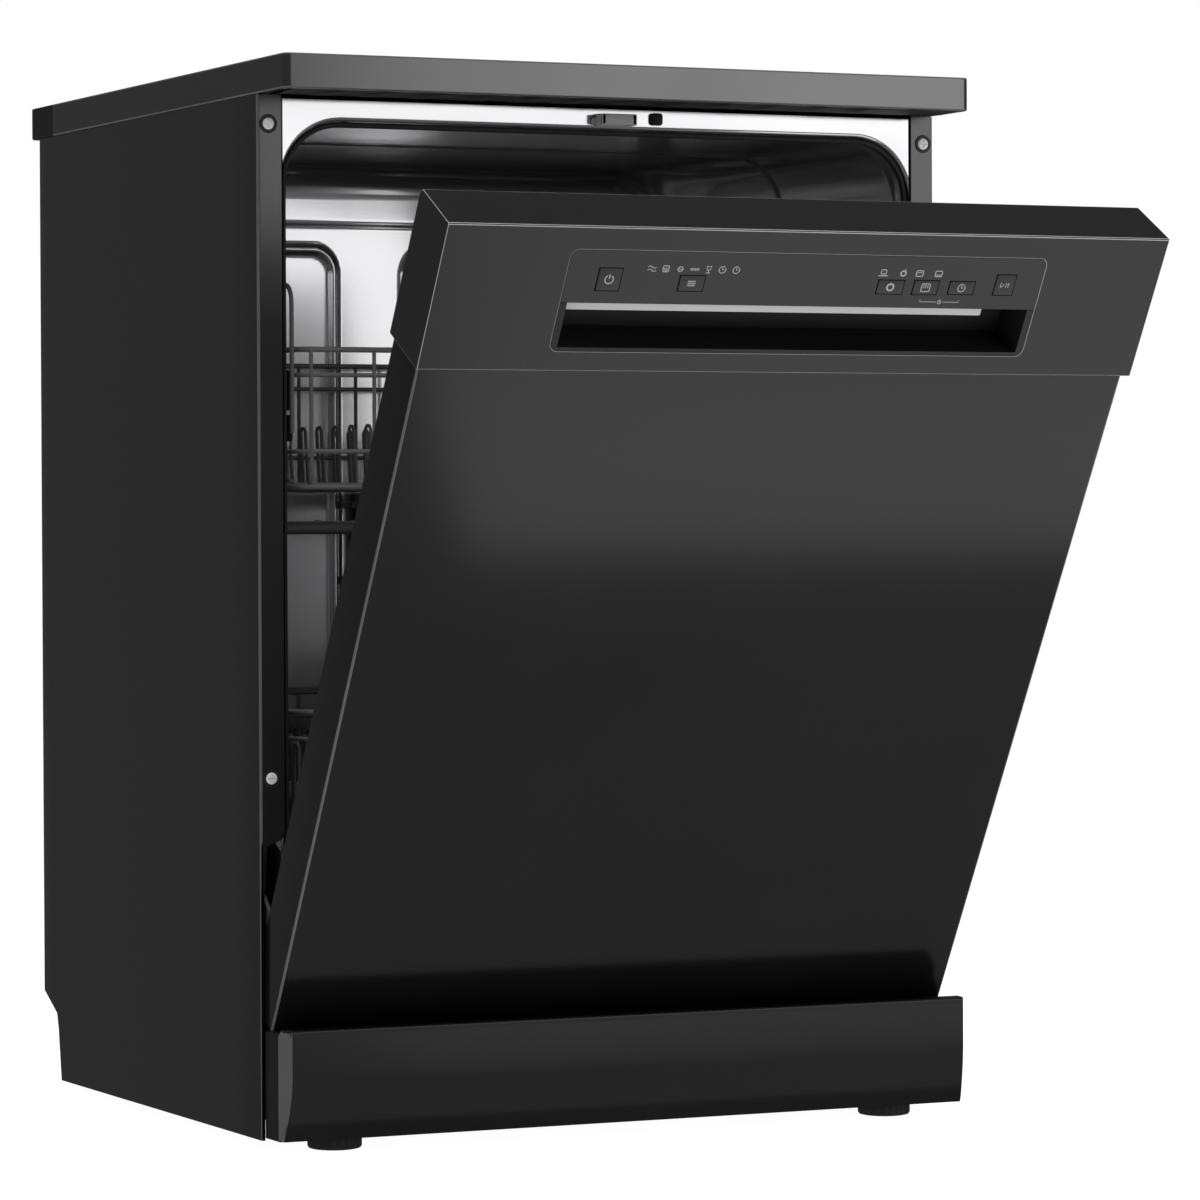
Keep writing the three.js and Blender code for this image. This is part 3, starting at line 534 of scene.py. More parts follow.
for hand, side in (("left", -1), ("right", 1)):
    from_frame(f"hinge_plate_{hand}", f"hinge_bracket_{hand}", "cabinet", zinc, 0.5)
    made(f"balance_spring_{hand}", [
        coil(side * 288, 200, 212, 368, 5.0, 0.95, 78),
        rod(np.array([(side * 288, 192, 200), (side * 288, 214, 200)], float), 0.95, (1, 0, 0)),
        rod(np.array([(side * 288, 366, 200), (side * 288, 388, 200)], float), 0.95, (1, 0, 0)),
    ], "cabinet", [f"door_spring_{hand}"], zinc)

# ---- Side panels and screws -----------------------------------------------------------------
# Each side is one sheet of steel, painted black after folding, with a narrow flange at the
# front that is cut away where the hinge arm passes. Two pan-head screws hold each flange.
CASE_HALF, CASE_FRONT, CASE_BACK, CASE_TOP = 298.0, 60.0, 575.0, 817.6
SHEET_POINTS = 2 * (3 + 4 + 5 + 7 + 5 + 1)


def side_panel(side):
    """A folded profile carried upwards: height = foot + share (top - foot), where the foot
    follows the cut-away at the back, and the flange's width follows the height."""
    t = np.linspace(0, math.pi / 2, 5)
    bend = 1.8

    def fold(inset):
        """The profile as (across the flange 0 to 1, x outwards, y), inset by the sheet."""
        lip = [(1.0, inset, CASE_FRONT + inset + (1.2 - inset) * (1 - math.sin(a)))
               for a in t[:3]]
        flange = [(s, 0.0, CASE_FRONT + inset) for s in (0.98, 0.7, 0.4, 0.12)]
        front = [(0.0, bend * (1 - math.sin(a)) + inset * math.sin(a),
                  CASE_FRONT + bend * (1 - math.cos(a)) + inset * math.cos(a)) for a in t]
        cheek = [(0.0, inset, y) for y in (120, 300, 480, 530, 537, 541, 555)]
        rear = [(0.0, bend * (1 - math.cos(a)) + inset * math.cos(a),
                 CASE_BACK - bend * (1 - math.sin(a)) - inset * math.sin(a)) for a in t]
        tail = [(0.0, 14.0, CASE_BACK - inset)]
        return lip + flange + front + cheek + rear + tail

    profile = np.array(fold(0.0) + fold(1.2)[::-1])
    across, inset, y = profile.T
    foot = np.interp(y, [530, 537, 541, CASE_BACK], [7, 51, 64, 82])
    levels = np.array([7, 100, 195.9, 205, 235, 240, 246, 247, 400, 600, CASE_TOP])
    width = np.interp(levels, [196, 205, 235, 240, 246], [2.6, 5, 6, 17, 21])
    share = ((levels - 7) / (CASE_TOP - 7))[:, None]
    z = foot + share * (CASE_TOP - foot)
    x = side * (CASE_HALF - inset - across * (width[:, None] - 0.4))
    return lofted(np.stack([x, np.broadcast_to(y, x.shape), z], -1), strip=True)


case_paint = coat("case_paint", grey(0.0030), grey(0.0042), 0.24, 0.03, shine=0.7, grain=260,
                  depth=0.006, ior=1.7, wave=0.5, wave_scale=5.0)
screw_steel = coat("screw_steel", grey(0.80), grey(0.86), 0.40, 0.05, metal=0.15, grain=500,
                   depth=0.004, cloud=80)


def sheet_columns(sheet):
    """The place of each face round the folded profile, and a large number for the end faces."""
    faces = len(sheet.data.polygons)
    ends = 2 * (SHEET_POINTS // 2 - 1)
    column = np.arange(faces) % SHEET_POINTS
    column[faces - ends:] = 1000
    return column


def screw_head(x, z, face):
    """A pan head: height falls as the square root of (1 - r^2), less a cross recess 0.9 mm deep
    where |x| or |z| is under 0.55 mm."""
    t = np.arange(48) * 2 * math.pi / 48
    r = np.array([0.05, 0.4, 0.7, 1.0, 1.4, 1.8, 2.2, 2.6, 3.0, 3.8, 4.4, 4.6])[:, None]
    a, b = r * np.cos(t), r * np.sin(t)
    height = 0.5 + 1.2 * np.sqrt(np.clip(1 - (r / 4.6) ** 2, 0, 1)) + 0 * t
    recess = (np.minimum(np.abs(a), np.abs(b)) < 0.5) & (np.maximum(np.abs(a), np.abs(b)) < 2.7)
    height = height - 1.1 * recess
    rings = np.stack([x + a, face - height, z + b], -1)
    base = np.stack([x + 4.6 * np.cos(t), np.full(48, face + 0.2), z + 4.6 * np.sin(t)], -1)
    return lofted(np.concatenate([rings, base[None]]))


# A lighter grey for folded and rounded edges and the plinth's end cheeks: a painted highlight.
painted_highlight_paint = coat("painted_highlight_paint", grey(0.085), grey(0.11), 0.24, 0.03, shine=0.6, grain=420,
                    depth=0.004)
for hand, side in (("left", -1), ("right", 1)):
    sheet = made(f"side_sheet_{hand}", [side_panel(side)], "cabinet", [f"side_panel_{hand}"],
                 case_paint, crease=40)
    around = sheet_columns(sheet)
    # The flange's lip and the front bend carry the painted highlight grey.
    edged(sheet, painted_highlight_paint, (around < 2) | ((around > 6) & (around < 11)))
made("flange_screws", [screw_head(x, z, 59.9) for x in (-288.6, 288.6) for z in (795.0, 288.0)],
     "cabinet", [], screw_steel, crease=25)
made("flange_screw_rings", [
    revolved([(4.8, 59.3), (6.9, 59.3), (7.4, 59.9), (7.4, 60.3), (4.8, 60.3)], (x, 0, z), "y",
             loop=True) for x in (-288.6, 288.6) for z in (795.0, 288.0)],
     "cabinet", [], black_nylon)

# ---- Rear panel -----------------------------------------------------------------------------
# Galvanised sheet with a pressed cross and border, screwed over the side panels' rear flanges.
REAR_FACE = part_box("rear_panel")[1].y / MM - FRONT_EDGE / MM


def galvanised():
    """Zinc spangle: Voronoi cells give each crystal its own shade and roughness."""
    finish = coat("galvanised", grey(0.38), grey(0.46), 0.42, 0.05, metal=0.45, grain=300,
                  depth=0.01, cloud=20)
    nodes, links = finish.node_tree.nodes, finish.node_tree.links
    cells = nodes.new("ShaderNodeTexVoronoi")
    cells.inputs["Scale"].default_value = 110
    links.new(nodes["Texture Coordinate"].outputs["Object"], cells.inputs["Vector"])
    ramp = nodes.new("ShaderNodeValToRGB")
    ramp.color_ramp.elements[0].color = (0.34, 0.35, 0.35, 1)
    ramp.color_ramp.elements[1].color = (0.50, 0.51, 0.51, 1)
    links.new(cells.outputs["Color"], ramp.inputs["Fac"])
    links.new(ramp.outputs["Color"], nodes["Principled BSDF"].inputs["Base Color"])
    return finish


def rear_sheet():
    """A grid sunk 3 mm inside a round-cornered border, with two crossed ribs standing back up."""
    x, z = np.meshgrid(np.linspace(-296, 296, 149), np.linspace(84, 817, 184))
    border = to_rectangle(x, z, -265, 265, 120, 780, 30)
    sunk = np.clip(-border / 8, 0, 1)
    sunk = 3.0 * sunk * sunk * (3 - 2 * sunk)
    for slope in (660 / 530, -660 / 530):
        off = np.abs((z - 450) - slope * x) / math.hypot(1, slope)
        sunk *= 1 - np.cos(np.clip(off / 9, 0, 1) * math.pi / 2) ** 2 * (border < -20)
    front, back = REAR_FACE - 1.2 - sunk, REAR_FACE - sunk
    outer = np.stack([x, back, z], -1)
    return open_grid(outer[:, ::-1]), open_grid(np.stack([x, front, z], -1))


made("rear_sheet", rear_sheet(), "cabinet", ["rear_panel"], galvanised())
made("rear_screws", [
    revolved([(0.1, REAR_FACE + 2.2), (1.8, REAR_FACE + 2.0), (3.2, REAR_FACE + 1.2),
              (3.6, REAR_FACE), (3.6, REAR_FACE - 0.4)], (x, 0, z), "y", 20)
    for x in (-289.0, 289.0) for z in (110, 290, 470, 650, 800)],
     "cabinet", [], screw_steel)

# ---- Plinth ---------------------------------------------------------------------------------
# A painted steel kick panel that clips over the base: upright at the top, its foot curling back.
PLINTH_HALF = 296.6


def plinth_strip():
    """A closed section carried along x: the face as a smooth curve, set in by the sheet's
    thickness for the inside, with a lip folded back at the top."""
    z = np.linspace(0, 1, 22)
    face_y = 5 + 11 * np.clip((60 - (10.5 + 84.7 * z)) / 49.5, 0, 1) ** 1.8
    face = np.column_stack([face_y, 10.5 + 84.7 * z])
    t = np.linspace(0, math.pi / 2, 6)
    lip = np.column_stack([6.8 - 1.8 * np.cos(t), 95.2 + 1.8 * np.sin(t)])
    tail = np.array([(20, 97), (20, 94.6), (9, 94.6)])
    inner = face[:-1][::-1] + (2.4, 0.0)
    inner[-1] = (24.0, 11.8)
    section = np.concatenate([face, lip[1:], tail, inner])
    half = PLINTH_HALF - 3.0 * np.clip((15 - section[:, 0]) / 10, 0, 1)
    rings = [np.column_stack([side * half, section]) for side in (-1, 1)]
    return lofted(np.stack(rings))


def plinth_end(side):
    """An end cheek, 2 mm thick: the area between the face's curve and a line 24 mm behind it,
    drawn in at the front as the strip's ends are."""
    z = np.linspace(10.8, 95.5, 22)
    face_y = 5.8 + 11 * np.clip((60 - z) / 49.5, 0, 1) ** 1.8
    section = np.concatenate([np.column_stack([face_y, z]), [(22, 95.5), (28, 91), (28, 10.8)]])
    half = PLINTH_HALF + 0.2 - 3.0 * np.clip((15 - section[:, 0]) / 10, 0, 1)
    rings = [np.column_stack([side * (half - inset), section]) for inset in (0, 2.0)]
    return lofted(np.stack(rings))


plinth_paint = coat("plinth_paint", grey(0.0060), grey(0.0075), 0.22, 0.02, shine=0.42, grain=260,
                    depth=0.005)
made("kick_plinth", [plinth_strip()], "cabinet", ["plinth"], plinth_paint)
made("plinth_brackets", [slab(side * 291 - 4.6, side * 291 + 4.6, 29, 59.4, 9, 93, 1.5, 0.8)
                         for side in (-1, 1)], "cabinet", [], moulded_black)
# The end cheeks are wholly in the painted highlight grey.
made("plinth_cheeks", [plinth_end(-1), plinth_end(1)], "cabinet", [], painted_highlight_paint)

# ---- Worktop --------------------------------------------------------------------------------
# A black laminate board on a ribbed plastic carrier, closed at the back by a moulded cap.
worktop_lacquer = coat("worktop_lacquer", grey(0.006), grey(0.008), 0.26, 0.03, shine=1.0,
                       grain=420, depth=0.006, ior=1.8)
# The board's rounded edges carry the painted highlight grey.
from_frame("worktop_board", "worktop", "cabinet", worktop_lacquer, 1.3, steps=3,
           highlight_finish=painted_highlight_paint)
from_frame("worktop_cap", "worktop_rear_cap", "cabinet", moulded_black, 1.3,
           steps=3)


def carrier_ribs():
    """The carrier's underside: a strip whose height dips 1.5 mm in rounded scallops 42 mm apart,
    deepest at mid depth."""
    x, y = np.meshgrid(np.linspace(-290, 290, 291), np.linspace(6, 57, 14))
    across = np.sin(math.pi * (x + 21) / 42) ** 4
    along = np.sin(math.pi * (y - 6) / 51) ** 0.7
    z = 817.9 - 1.5 * across * along
    top = open_grid(np.stack([x, y, z], -1)[::-1])
    return [top]


made("worktop_carrier", carrier_ribs(), "cabinet", [], moulded_black)

# ---- Striker and door stop ------------------------------------------------------------------
# A light plastic catch that the hook takes hold of, and a square rubber buffer beside it.
light_plastic = coat("light_plastic", grey(0.34), grey(0.38), 0.36, 0.04, grain=900, depth=0.02)
made("striker_catch", [
    slab(-9, 22, 801, 811, 56.5, 61.2, 2, 1.0, "y"), slab(-9, -5, 801.5, 810.5, 47, 60, 1, 0.8, "y"),
    slab(18, 22, 801.5, 810.5, 47, 60, 1, 0.8, "y"), slab(-9, 22, 801.5, 810.5, 47, 50, 1.4, 0.9, "y"),
    slab(-12.4, -8, 803, 808, 57.5, 61.2, 2, 0.7, "y"),
], "cabinet", ["striker"], light_plastic)
made("door_stop", [slab(40.2, 50.2, 803, 813, 57.6, 61.5, 2.6, 1.2, "y"),
                   slab(42.6, 47.8, 805.4, 810.6, 56.9, 58, 1.4, 0.5, "y")],
     "cabinet", [], silicone)

# ---- Rails and upper rack -------------------------------------------------------------------
# Stainless C rails on the tub's sides carry the upper rack's rollers. The racks are steel wire,
# welded and coated in grey nylon.
for hand, side in (("left", -1), ("right", 1)):
    from_frame(f"rail_{hand}", f"rack_rail_{hand}", "cabinet", bright_steel, 0.7)

rack_nylon = coat("rack_nylon", grey(0.12), grey(0.15), 0.33, 0.05, grain=500, depth=0.02)
UP, RIGHT, BACK = (0, 0, 1), (1, 0, 0), (0, 1, 0)


def hoop(half, y0, y1, z, wire, corner=16):
    """A rounded rectangle of wire lying flat."""
    flat = outlined(-half, half, y0, y1, corner, 6)
    return rod(np.column_stack([flat, np.full(len(flat), z)]), wire, UP, loop=True)


def cradle(half, y0, y1, floor, rim, count, wire, axis, spread=0.86):
    """U-shaped wires: up one wall, across the floor and up the other, count of them evenly."""
    shells = []
    for s in np.linspace(-spread, spread, count):
        if axis == "y":
            x = s * half
            path = bent([(x, y0, rim), (x, y0, floor), (x, y1, floor), (x, y1, rim)], 13, 5)
            shells.append(rod(path, wire, RIGHT, 8))
        else:
            y = (y0 + y1) / 2 + s * (y1 - y0) / 2
            path = bent([(-half, y, rim), (-half, y, floor), (half, y, floor), (half, y, rim)],
                        13, 5)
            shells.append(rod(path, wire, BACK, 8))
    return shells


def tines(xs, ys, floor, height, lean=0.0):
    """Upright prongs with round tips, standing on the floor wires."""
    shells = []
    for x in xs:
        for y in ys:
            path = bent([(x, y - 5, floor), (x, y - 5 + lean, floor + height),
                         (x, y + 5 + lean, floor + height), (x, y + 5, floor)], 4.4, 4)
            shells.append(rod(path, 1.5, RIGHT, 6))
    return shells


def straight(a, b, wire, across, sides=8):
    return rod(np.array([a, b], float), wire, across, sides)


UPPER_HALF, UPPER_FRONT, UPPER_BACK, UPPER_FLOOR = 252.0, 92.0, 518.0, 513.0
side_rails = []
for side in (-1, 1):
    side_rails.append(rod(bent([
        (side * 256.4, UPPER_FRONT + 2, 556), (side * 256.4, UPPER_FRONT + 2, 673),
        (side * 256.4, UPPER_BACK - 4, 673), (side * 256.4, UPPER_BACK - 4, 560)], 14, 5), 1.9,
        RIGHT, 8))
    side_rails += [straight((side * 254, y, 600), (side * 256, y, 673), 1.6, BACK)
                   for y in (190, 300, 410)]
roller_stubs = [straight((side * 250, y, 560), (side * 264, y, 560), 2.5, UP)
                for side in (-1, 1) for y in (150, 480)]
made("upper_rack_wire", [
    hoop(UPPER_HALF, UPPER_FRONT, UPPER_BACK, 622, 2.2),
    hoop(UPPER_HALF, UPPER_FRONT, UPPER_BACK, 602, 1.8),
    hoop(UPPER_HALF, UPPER_FRONT, UPPER_BACK, 542, 1.8),
    hoop(UPPER_HALF, UPPER_FRONT, UPPER_BACK, UPPER_FLOOR + 1, 2.0),
    *cradle(UPPER_HALF, UPPER_FRONT, UPPER_BACK, UPPER_FLOOR, 622, 10, 1.7, "y", 0.956),
    *cradle(UPPER_HALF, UPPER_FRONT, UPPER_BACK, UPPER_FLOOR + 3, 622, 8, 1.7, "x"),
    *tines((-160, -60, 60, 160), np.linspace(130, 480, 11), UPPER_FLOOR + 3, 48, 6),
    *side_rails, *roller_stubs,
], "upper_rack", ["upper_rack"], rack_nylon, crease=60)
rollers = [revolved([(2.6, -4), (6.0, -4), (6.5, -3.4), (6.5, 3.4), (6.0, 4), (2.6, 4)],
                    (side * 267, y, 560), "x", 24, loop=True) for side in (-1, 1) for y in (150, 480)]
clips = [slab(y - 9, y + 9, 548, 606, side * 256.4 - 2, side * 256.4 + 2, 5, 1.2, "x")
         for side in (-1, 1) for y in (106, 150, 480)]
made("upper_rack_rollers", rollers + clips, "upper_rack", [], moulded_black)
made("upper_duct", [
    rod(bent([(0, 523.5, 503.4), (0, 330, 503.4), (0, 300, 503.4)], 6, 3), (9.6, 5.8), RIGHT, 20),
    revolved([(0.2, 490), (15, 490), (16, 491), (16, 508), (15, 509.4), (0.2, 509.4)], (0, 300, 0)),
], "upper_rack", ["upper_spray_duct"], grey_plastic)
made("upper_arm", [
    blade(204, 21.5, 476, 487), *nozzles(204, 487.0, JETS),
    revolved([(0.2, 476.4), (25, 476.4), (26, 477.6), (26, 486), (22, 489), (0.2, 489.3)],
             (0, 300, 0)),
], "upper_spray_arm", ["upper_spray_arm"], grey_plastic)

# ---- Lower rack, wheels and cutlery basket --------------------------------------------------
# The lower rack runs on eight-spoked nylon wheels on the door's liner and the tub floor. The
# basket is moulded in two latticed cells with a handle between them.
LOWER_HALF, LOWER_FRONT, LOWER_BACK, LOWER_FLOOR = 250.0, 97.0, 520.0, 232.0
axle_plates = []
for side in (-1, 1):
    for y in (132, 484):
        axle_plates.append(slab(y - 12, y + 12, 200, 240, side * 251.5 - 1.4, side * 251.5 + 1.4,
                                6, 0.8, "x"))
        axle_plates.append(straight((side * 249, y, 207.4), (side * 270, y, 207.4), 3, UP, 14))
made("lower_rack_wire", [
    hoop(LOWER_HALF, LOWER_FRONT, LOWER_BACK, 337, 2.2),
    hoop(LOWER_HALF, LOWER_FRONT, LOWER_BACK, 316, 1.8),
    hoop(LOWER_HALF, LOWER_FRONT, LOWER_BACK, LOWER_FLOOR, 2.4),
    *cradle(LOWER_HALF, LOWER_FRONT, LOWER_BACK, LOWER_FLOOR, 337, 9, 1.8, "y"),
    *cradle(LOWER_HALF, LOWER_FRONT, LOWER_BACK, LOWER_FLOOR + 3, 337, 8, 1.8, "x"),
    *tines((-205, -150, -95, -40, 15, 62), np.linspace(125, 490, 13), LOWER_FLOOR + 3, 72, 0),
    *tines((130, 190), np.linspace(355, 490, 5), LOWER_FLOOR + 3, 72, 0),
    *axle_plates,
], "lower_rack", ["lower_rack"], rack_nylon, crease=60)
for end, y in (("front", 132), ("rear", 484)):
    for hand, side in (("left", -1), ("right", 1)):
        hub = (side * 260, y, 207.4)
        spokes = []
        for a in np.arange(8) * math.pi / 4:
            direction = np.array([0, math.cos(a), math.sin(a)])
            spokes.append(rod(np.array([hub + direction * 5, hub + direction * 14]), (2.2, 1.1),
                              RIGHT, 8))
        made(f"wheel_{end}_{hand}", [
            revolved([(13.6, -5.3), (16.4, -5.3), (17, -4.6), (17, 4.6), (16.4, 5.3), (13.6, 5.3),
                      (13.2, 4.4), (13.2, -4.4)], hub, "x", 40, loop=True),
            revolved([(3.3, -5.5), (6, -5.5), (6.4, -5), (6.4, 5), (6, 5.5), (3.3, 5.5)], hub, "x",
                     24, loop=True), *spokes],
             f"rack_wheel_{end}_{hand}", [f"rack_wheel_{end}_{hand}"], grey_plastic)


def bars(bounds):
    """Plain bars, one for each row of (x0, x1, y0, y1, z0, z1), all their corners at once."""
    b = np.array(bounds, float)
    corner = np.array([[0, 2, 4], [1, 2, 4], [1, 3, 4], [0, 3, 4],
                       [0, 2, 5], [1, 2, 5], [1, 3, 5], [0, 3, 5]])
    face = np.array([[0, 3, 2, 1], [4, 5, 6, 7], [0, 1, 5, 4], [1, 2, 6, 5], [2, 3, 7, 6],
                     [3, 0, 4, 7]])
    quads = face[None] + 8 * np.arange(len(b))[:, None, None]
    return b[:, corner].reshape(-1, 3), quads.reshape(-1, 4), []


def basket():
    """Two latticed cells: upright ribs 12 mm apart in every wall between solid bands, on a floor
    of crossing slats."""
    x0, x1, y0, y1, z0, z1 = 96, 238, 108, 330, 235, 352
    rows = []
    for z, tall in ((z0, 10), (z0 + 40, 4), (z0 + 78, 4), (z1 - 9, 9)):
        for y in (y0, 218, y1 - 2):
            rows.append((x0, x1, y, y + 2, z, z + tall))
        for x in (x0, x1 - 2):
            rows.append((x, x + 2, y0, y1, z, z + tall))
    for x in np.arange(x0 + 10, x1 - 8, 12):
        rows += [(x, x + 3, y + 0.3, y + 1.7, z0, z1 - 1) for y in (y0, 218, y1 - 2)]
    for y in np.arange(y0 + 10, y1 - 8, 12):
        rows += [(x + 0.3, x + 1.7, y, y + 3, z0, z1 - 1) for x in (x0, x1 - 2)]
    rows += [(x, x + 3, y0 + 1, y1 - 1, z0, z0 + 2) for x in np.arange(x0 + 6, x1 - 6, 9)]
    rows += [(x0 + 1, x1 - 1, y, y + 3, z0 + 0.3, z0 + 1.8) for y in np.arange(y0 + 6, y1 - 6, 9)]
    return bars(rows)


made("cutlery_lattice", [basket()], "lower_rack", ["cutlery_basket"], grey_plastic)
made("cutlery_handle", [rod(bent([(120, 219, 348), (120, 219, 398), (214, 219, 398),
                                  (214, 219, 348)], 18, 8), (2.2, 5), BACK, 14)],
     "lower_rack", [], grey_plastic)

# ---- Inner door -----------------------------------------------------------------------------
# A stainless liner pressed with a sunk field and two stiffening beads, drawn standing and then
# turned open with the rest of the door. The dispenser is let into it.
DOOR_PIN = np.array([0.0, 62.1, 179.2])
AJAR = math.radians(30)


def hung(points):
    """From the door's own millimetres, pin at the origin, to the frame: turned by the angle it
    stands open, moved to the pin, then placed as the cabinet's pieces are."""
    x, y, z = points.T
    turned = np.column_stack([x, y * math.cos(AJAR) - z * math.sin(AJAR),
                              y * math.sin(AJAR) + z * math.cos(AJAR)])
    return standing(turned + DOOR_PIN)


door_steel = coat("door_steel", grey(0.62), grey(0.70), 0.22, 0.04, metal=0.7, grain=700,
                  depth=0.002, cloud=5, stretch=(0.15, 1, 1), tilt=-AJAR, wave=0.6, wave_scale=6.0)


def liner():
    """A grid sunk 14 mm inside a round-cornered field by a smooth step over 12 mm, with two
    level beads below the dispenser, and narrower at the foot where the hinge arms stand."""
    x, z = np.meshgrid(np.linspace(-1, 1, 201), np.linspace(-56, 616, 225))
    half = np.where(z < 66, 281.6, 293.0)
    x = x * half
    field = np.clip(-to_rectangle(x, z, -268, 268, 64, 566, 34) / 12, 0, 1)
    sunk = 14.0 * field * field * (3 - 2 * field)
    for low in (110, 160):
        edge = to_rectangle(x, z, -200, 200, low, low + 22, 11)
        sunk -= 3.5 * np.clip(-edge / 8, 0, 1)
    y = -6.0 - sunk
    return open_grid(np.stack([x, y, z], -1)[:, ::-1]), open_grid(np.stack([x, y - 1.1, z], -1))


made("door_liner", liner(), "door", ["inner_door"], door_steel, hung, crease=50)

# ---- Dispenser ------------------------------------------------------------------------------
# Grey polypropylene, clipped into the liner: a powder cup under a sprung lid, and a rinse-aid
# filler closed by a quarter-turn cap.
from_frame("dispenser_box", "dispenser_body", "door", grey_plastic, 1.0, steps=3)
made("dispenser_flap", [
    slab(-89, -9, 254, 336, -13.6, -9.8, 6, 1.2, "y"),
    slab(-60, -38, 322, 332, -10.2, -9.6, 3, 0.28, "y"),
    slab(-84, -14, 262, 264, -10.2, -9.6, 0.9, 0.28, "y"),
], "dispenser_lid", ["dispenser_lid"], grey_plastic, hung)
made("rinse_cap", [
    revolved([(0.2, -13.6), (18.4, -13.6), (19, -13), (19, -10.4), (18.2, -9.6), (0.2, -9.6)],
             (27, 0, 292), "y", 48),
    slab(24.8, 29.2, 277, 307, -10.5, -6.6, 2.1, 1.0, "y"),
], "rinse_aid_cap", ["rinse_aid_cap"], grey_plastic, hung)
for hand in ("left", "right"):
    from_frame(f"hinge_lever_{hand}", f"hinge_arm_{hand}", "door", zinc, 0.4)

# ---- Outer panel ----------------------------------------------------------------------------
# One painted sheet with all four edges folded back, hung on the front of the inner door.
PANEL_HALF, PANEL_FRONT, DOOR_LOW, PANEL_TOP = 294.5, -55.5, -70.0, 516.7


def tray(x0, x1, z0, z1, front, back, corner, edge, wall):
    """A shallow tray: from the inside of its face out to the rim, over the rim and down the
    outside to a rounded front edge, as rings of one outline."""
    t = np.linspace(0, math.pi / 2, 6)
    path = [(wall + edge, front + wall), (wall, front + wall + edge), (wall, back), (0, back)]
    path += [(edge * (1 - math.cos(a)), front + edge * (1 - math.sin(a))) for a in t]
    path += [(edge + 1.0, front)]
    rings = [np.column_stack([outlined(x0 + i, x1 - i, z0 + i, z1 - i, max(corner - i, 0.2), 4),
                              np.full(20, y)])[:, (0, 2, 1)] for i, y in path]
    return lofted(np.stack(rings))


panel_paint = coat("panel_paint", grey(0.0042), grey(0.0052), 0.17, 0.012, shine=0.42, grain=240,
                   depth=0.004, tilt=-AJAR, wave=0.25, wave_scale=4.0)
front_panel = made("front_panel", [
    tray(-PANEL_HALF, PANEL_HALF, DOOR_LOW, PANEL_TOP, PANEL_FRONT, -7.8, 2.5, 1.6, 1.2),
], "door", ["door_outer_panel"], panel_paint, hung)
# The panel's rounded front edge carries the painted highlight grey.
ring_of_face = np.arange(len(front_panel.data.polygons)) // 20
edged(front_panel, painted_highlight_paint, (ring_of_face > 3) & (ring_of_face < 9))

# ---- Console --------------------------------------------------------------------------------
# A gloss black moulding across the top of the door, with its edges broken by a fine chamfer. A
# separate insert carries the keys, over the pocket and the lever that opens the door.
console_gloss = coat("console_gloss", grey(0.008), grey(0.010), 0.26, 0.02, shine=0.42, grain=700,
                     depth=0.006, tilt=-AJAR)
insert_gloss = coat("insert_gloss", grey(0.012), grey(0.014), 0.32, 0.02, shine=0.42, grain=800,
                    depth=0.008, tilt=-AJAR)
# A light grey for the console's chamfered edges: a painted highlight.
painted_highlight_gloss = coat("painted_highlight_gloss", grey(0.36), grey(0.42), 0.2, 0.03, shine=0.6, grain=420,
                    depth=0.004, tilt=-AJAR)
from_frame("console_moulding", "console", "door", console_gloss, 1.0, 25, 3,
           painted_highlight_gloss)
from_frame("key_insert", "control_insert", "door", insert_gloss, 0.3, 25)
from_frame("pocket_moulding", "handle_pocket", "door", moulded_black, 0.9, 25, 3)
for node in ("latch_body", "control_board"):
    from_frame(node + "_moulding", node, "door", moulded_black, 0.6)
from_frame("latch_claw", "latch_hook", "latch_hook", zinc, 0.5)
made("door_lever", [slab(-190.4, 157, 563.6, 575, -54.1, -51.2, 1.2, 0.7, "y")],
     "handle_lever", ["handle_lever"], light_plastic, hung)

# ---- Keys and marks -------------------------------------------------------------------------
# Six black keys stand a hair proud of the insert. Their marks and the programme marks above are
# printed in light grey: plain symbols and no words.
KEYS = {"power": (-171.8, -153.0, 583.5, 602.0), "program": (-105.8, -85.4, 584.3, 597.1),
        "ring": (58.0, 80.0, 584.7, 596.2), "half_load": (88.3, 109.5, 584.7, 596.5),
        "delay": (118.7, 140.2, 585.3, 596.2), "start": (157.4, 174.0, 585.3, 602.4)}
KEY_FACE = -62.1
printed = coat("printed_marks", grey(0.30), grey(0.34), 0.5, 0.04, shine=0.3, grain=900, depth=0.01,
               tilt=-AJAR)


def stroke(path, width, face, loop=False):
    """A printed line: a ribbon half a width either side of the path, standing 0.06 mm proud."""
    p = np.array(path, float)
    ahead = np.roll(p, -1, 0) - np.roll(p, 1, 0)
    if not loop:
        ahead[0], ahead[-1] = p[1] - p[0], p[-1] - p[-2]
    ahead /= np.linalg.norm(ahead, axis=1, keepdims=True)
    beside = np.column_stack([-ahead[:, 1], ahead[:, 0]]) * width / 2
    left, right = p + beside, p - beside
    near, far = np.full(len(p), face - 0.06), np.full(len(p), face + 0.1)
    ring = [np.column_stack([s[:, 0], y, s[:, 1]])
            for s, y in ((left, near), (right, near), (right, far), (left, far))]
    return lofted(np.stack(ring, 1), loop)


def arc(x, z, radius, a0, a1, count=24):
    a = np.radians(np.linspace(a0, a1, count))
    return np.column_stack([x + radius * np.cos(a), z + radius * np.sin(a)])


def ring(x, z, radius, width, face):
    return stroke(arc(x, z, radius, 0, 360, 25)[:-1], width, face, True)


def frame_mark(x, z, wide, tall, width, face):
    return stroke(outlined(x - wide / 2, x + wide / 2, z - tall / 2, z + tall / 2, 0.8, 3), width,
                  face, True)


def clock(x, z, radius, width, face):
    return [stroke(arc(x, z, radius, 50, 395), width, face),
            stroke([(x, z + radius * 0.6), (x, z), (x + radius * 0.45, z)], width, face)]


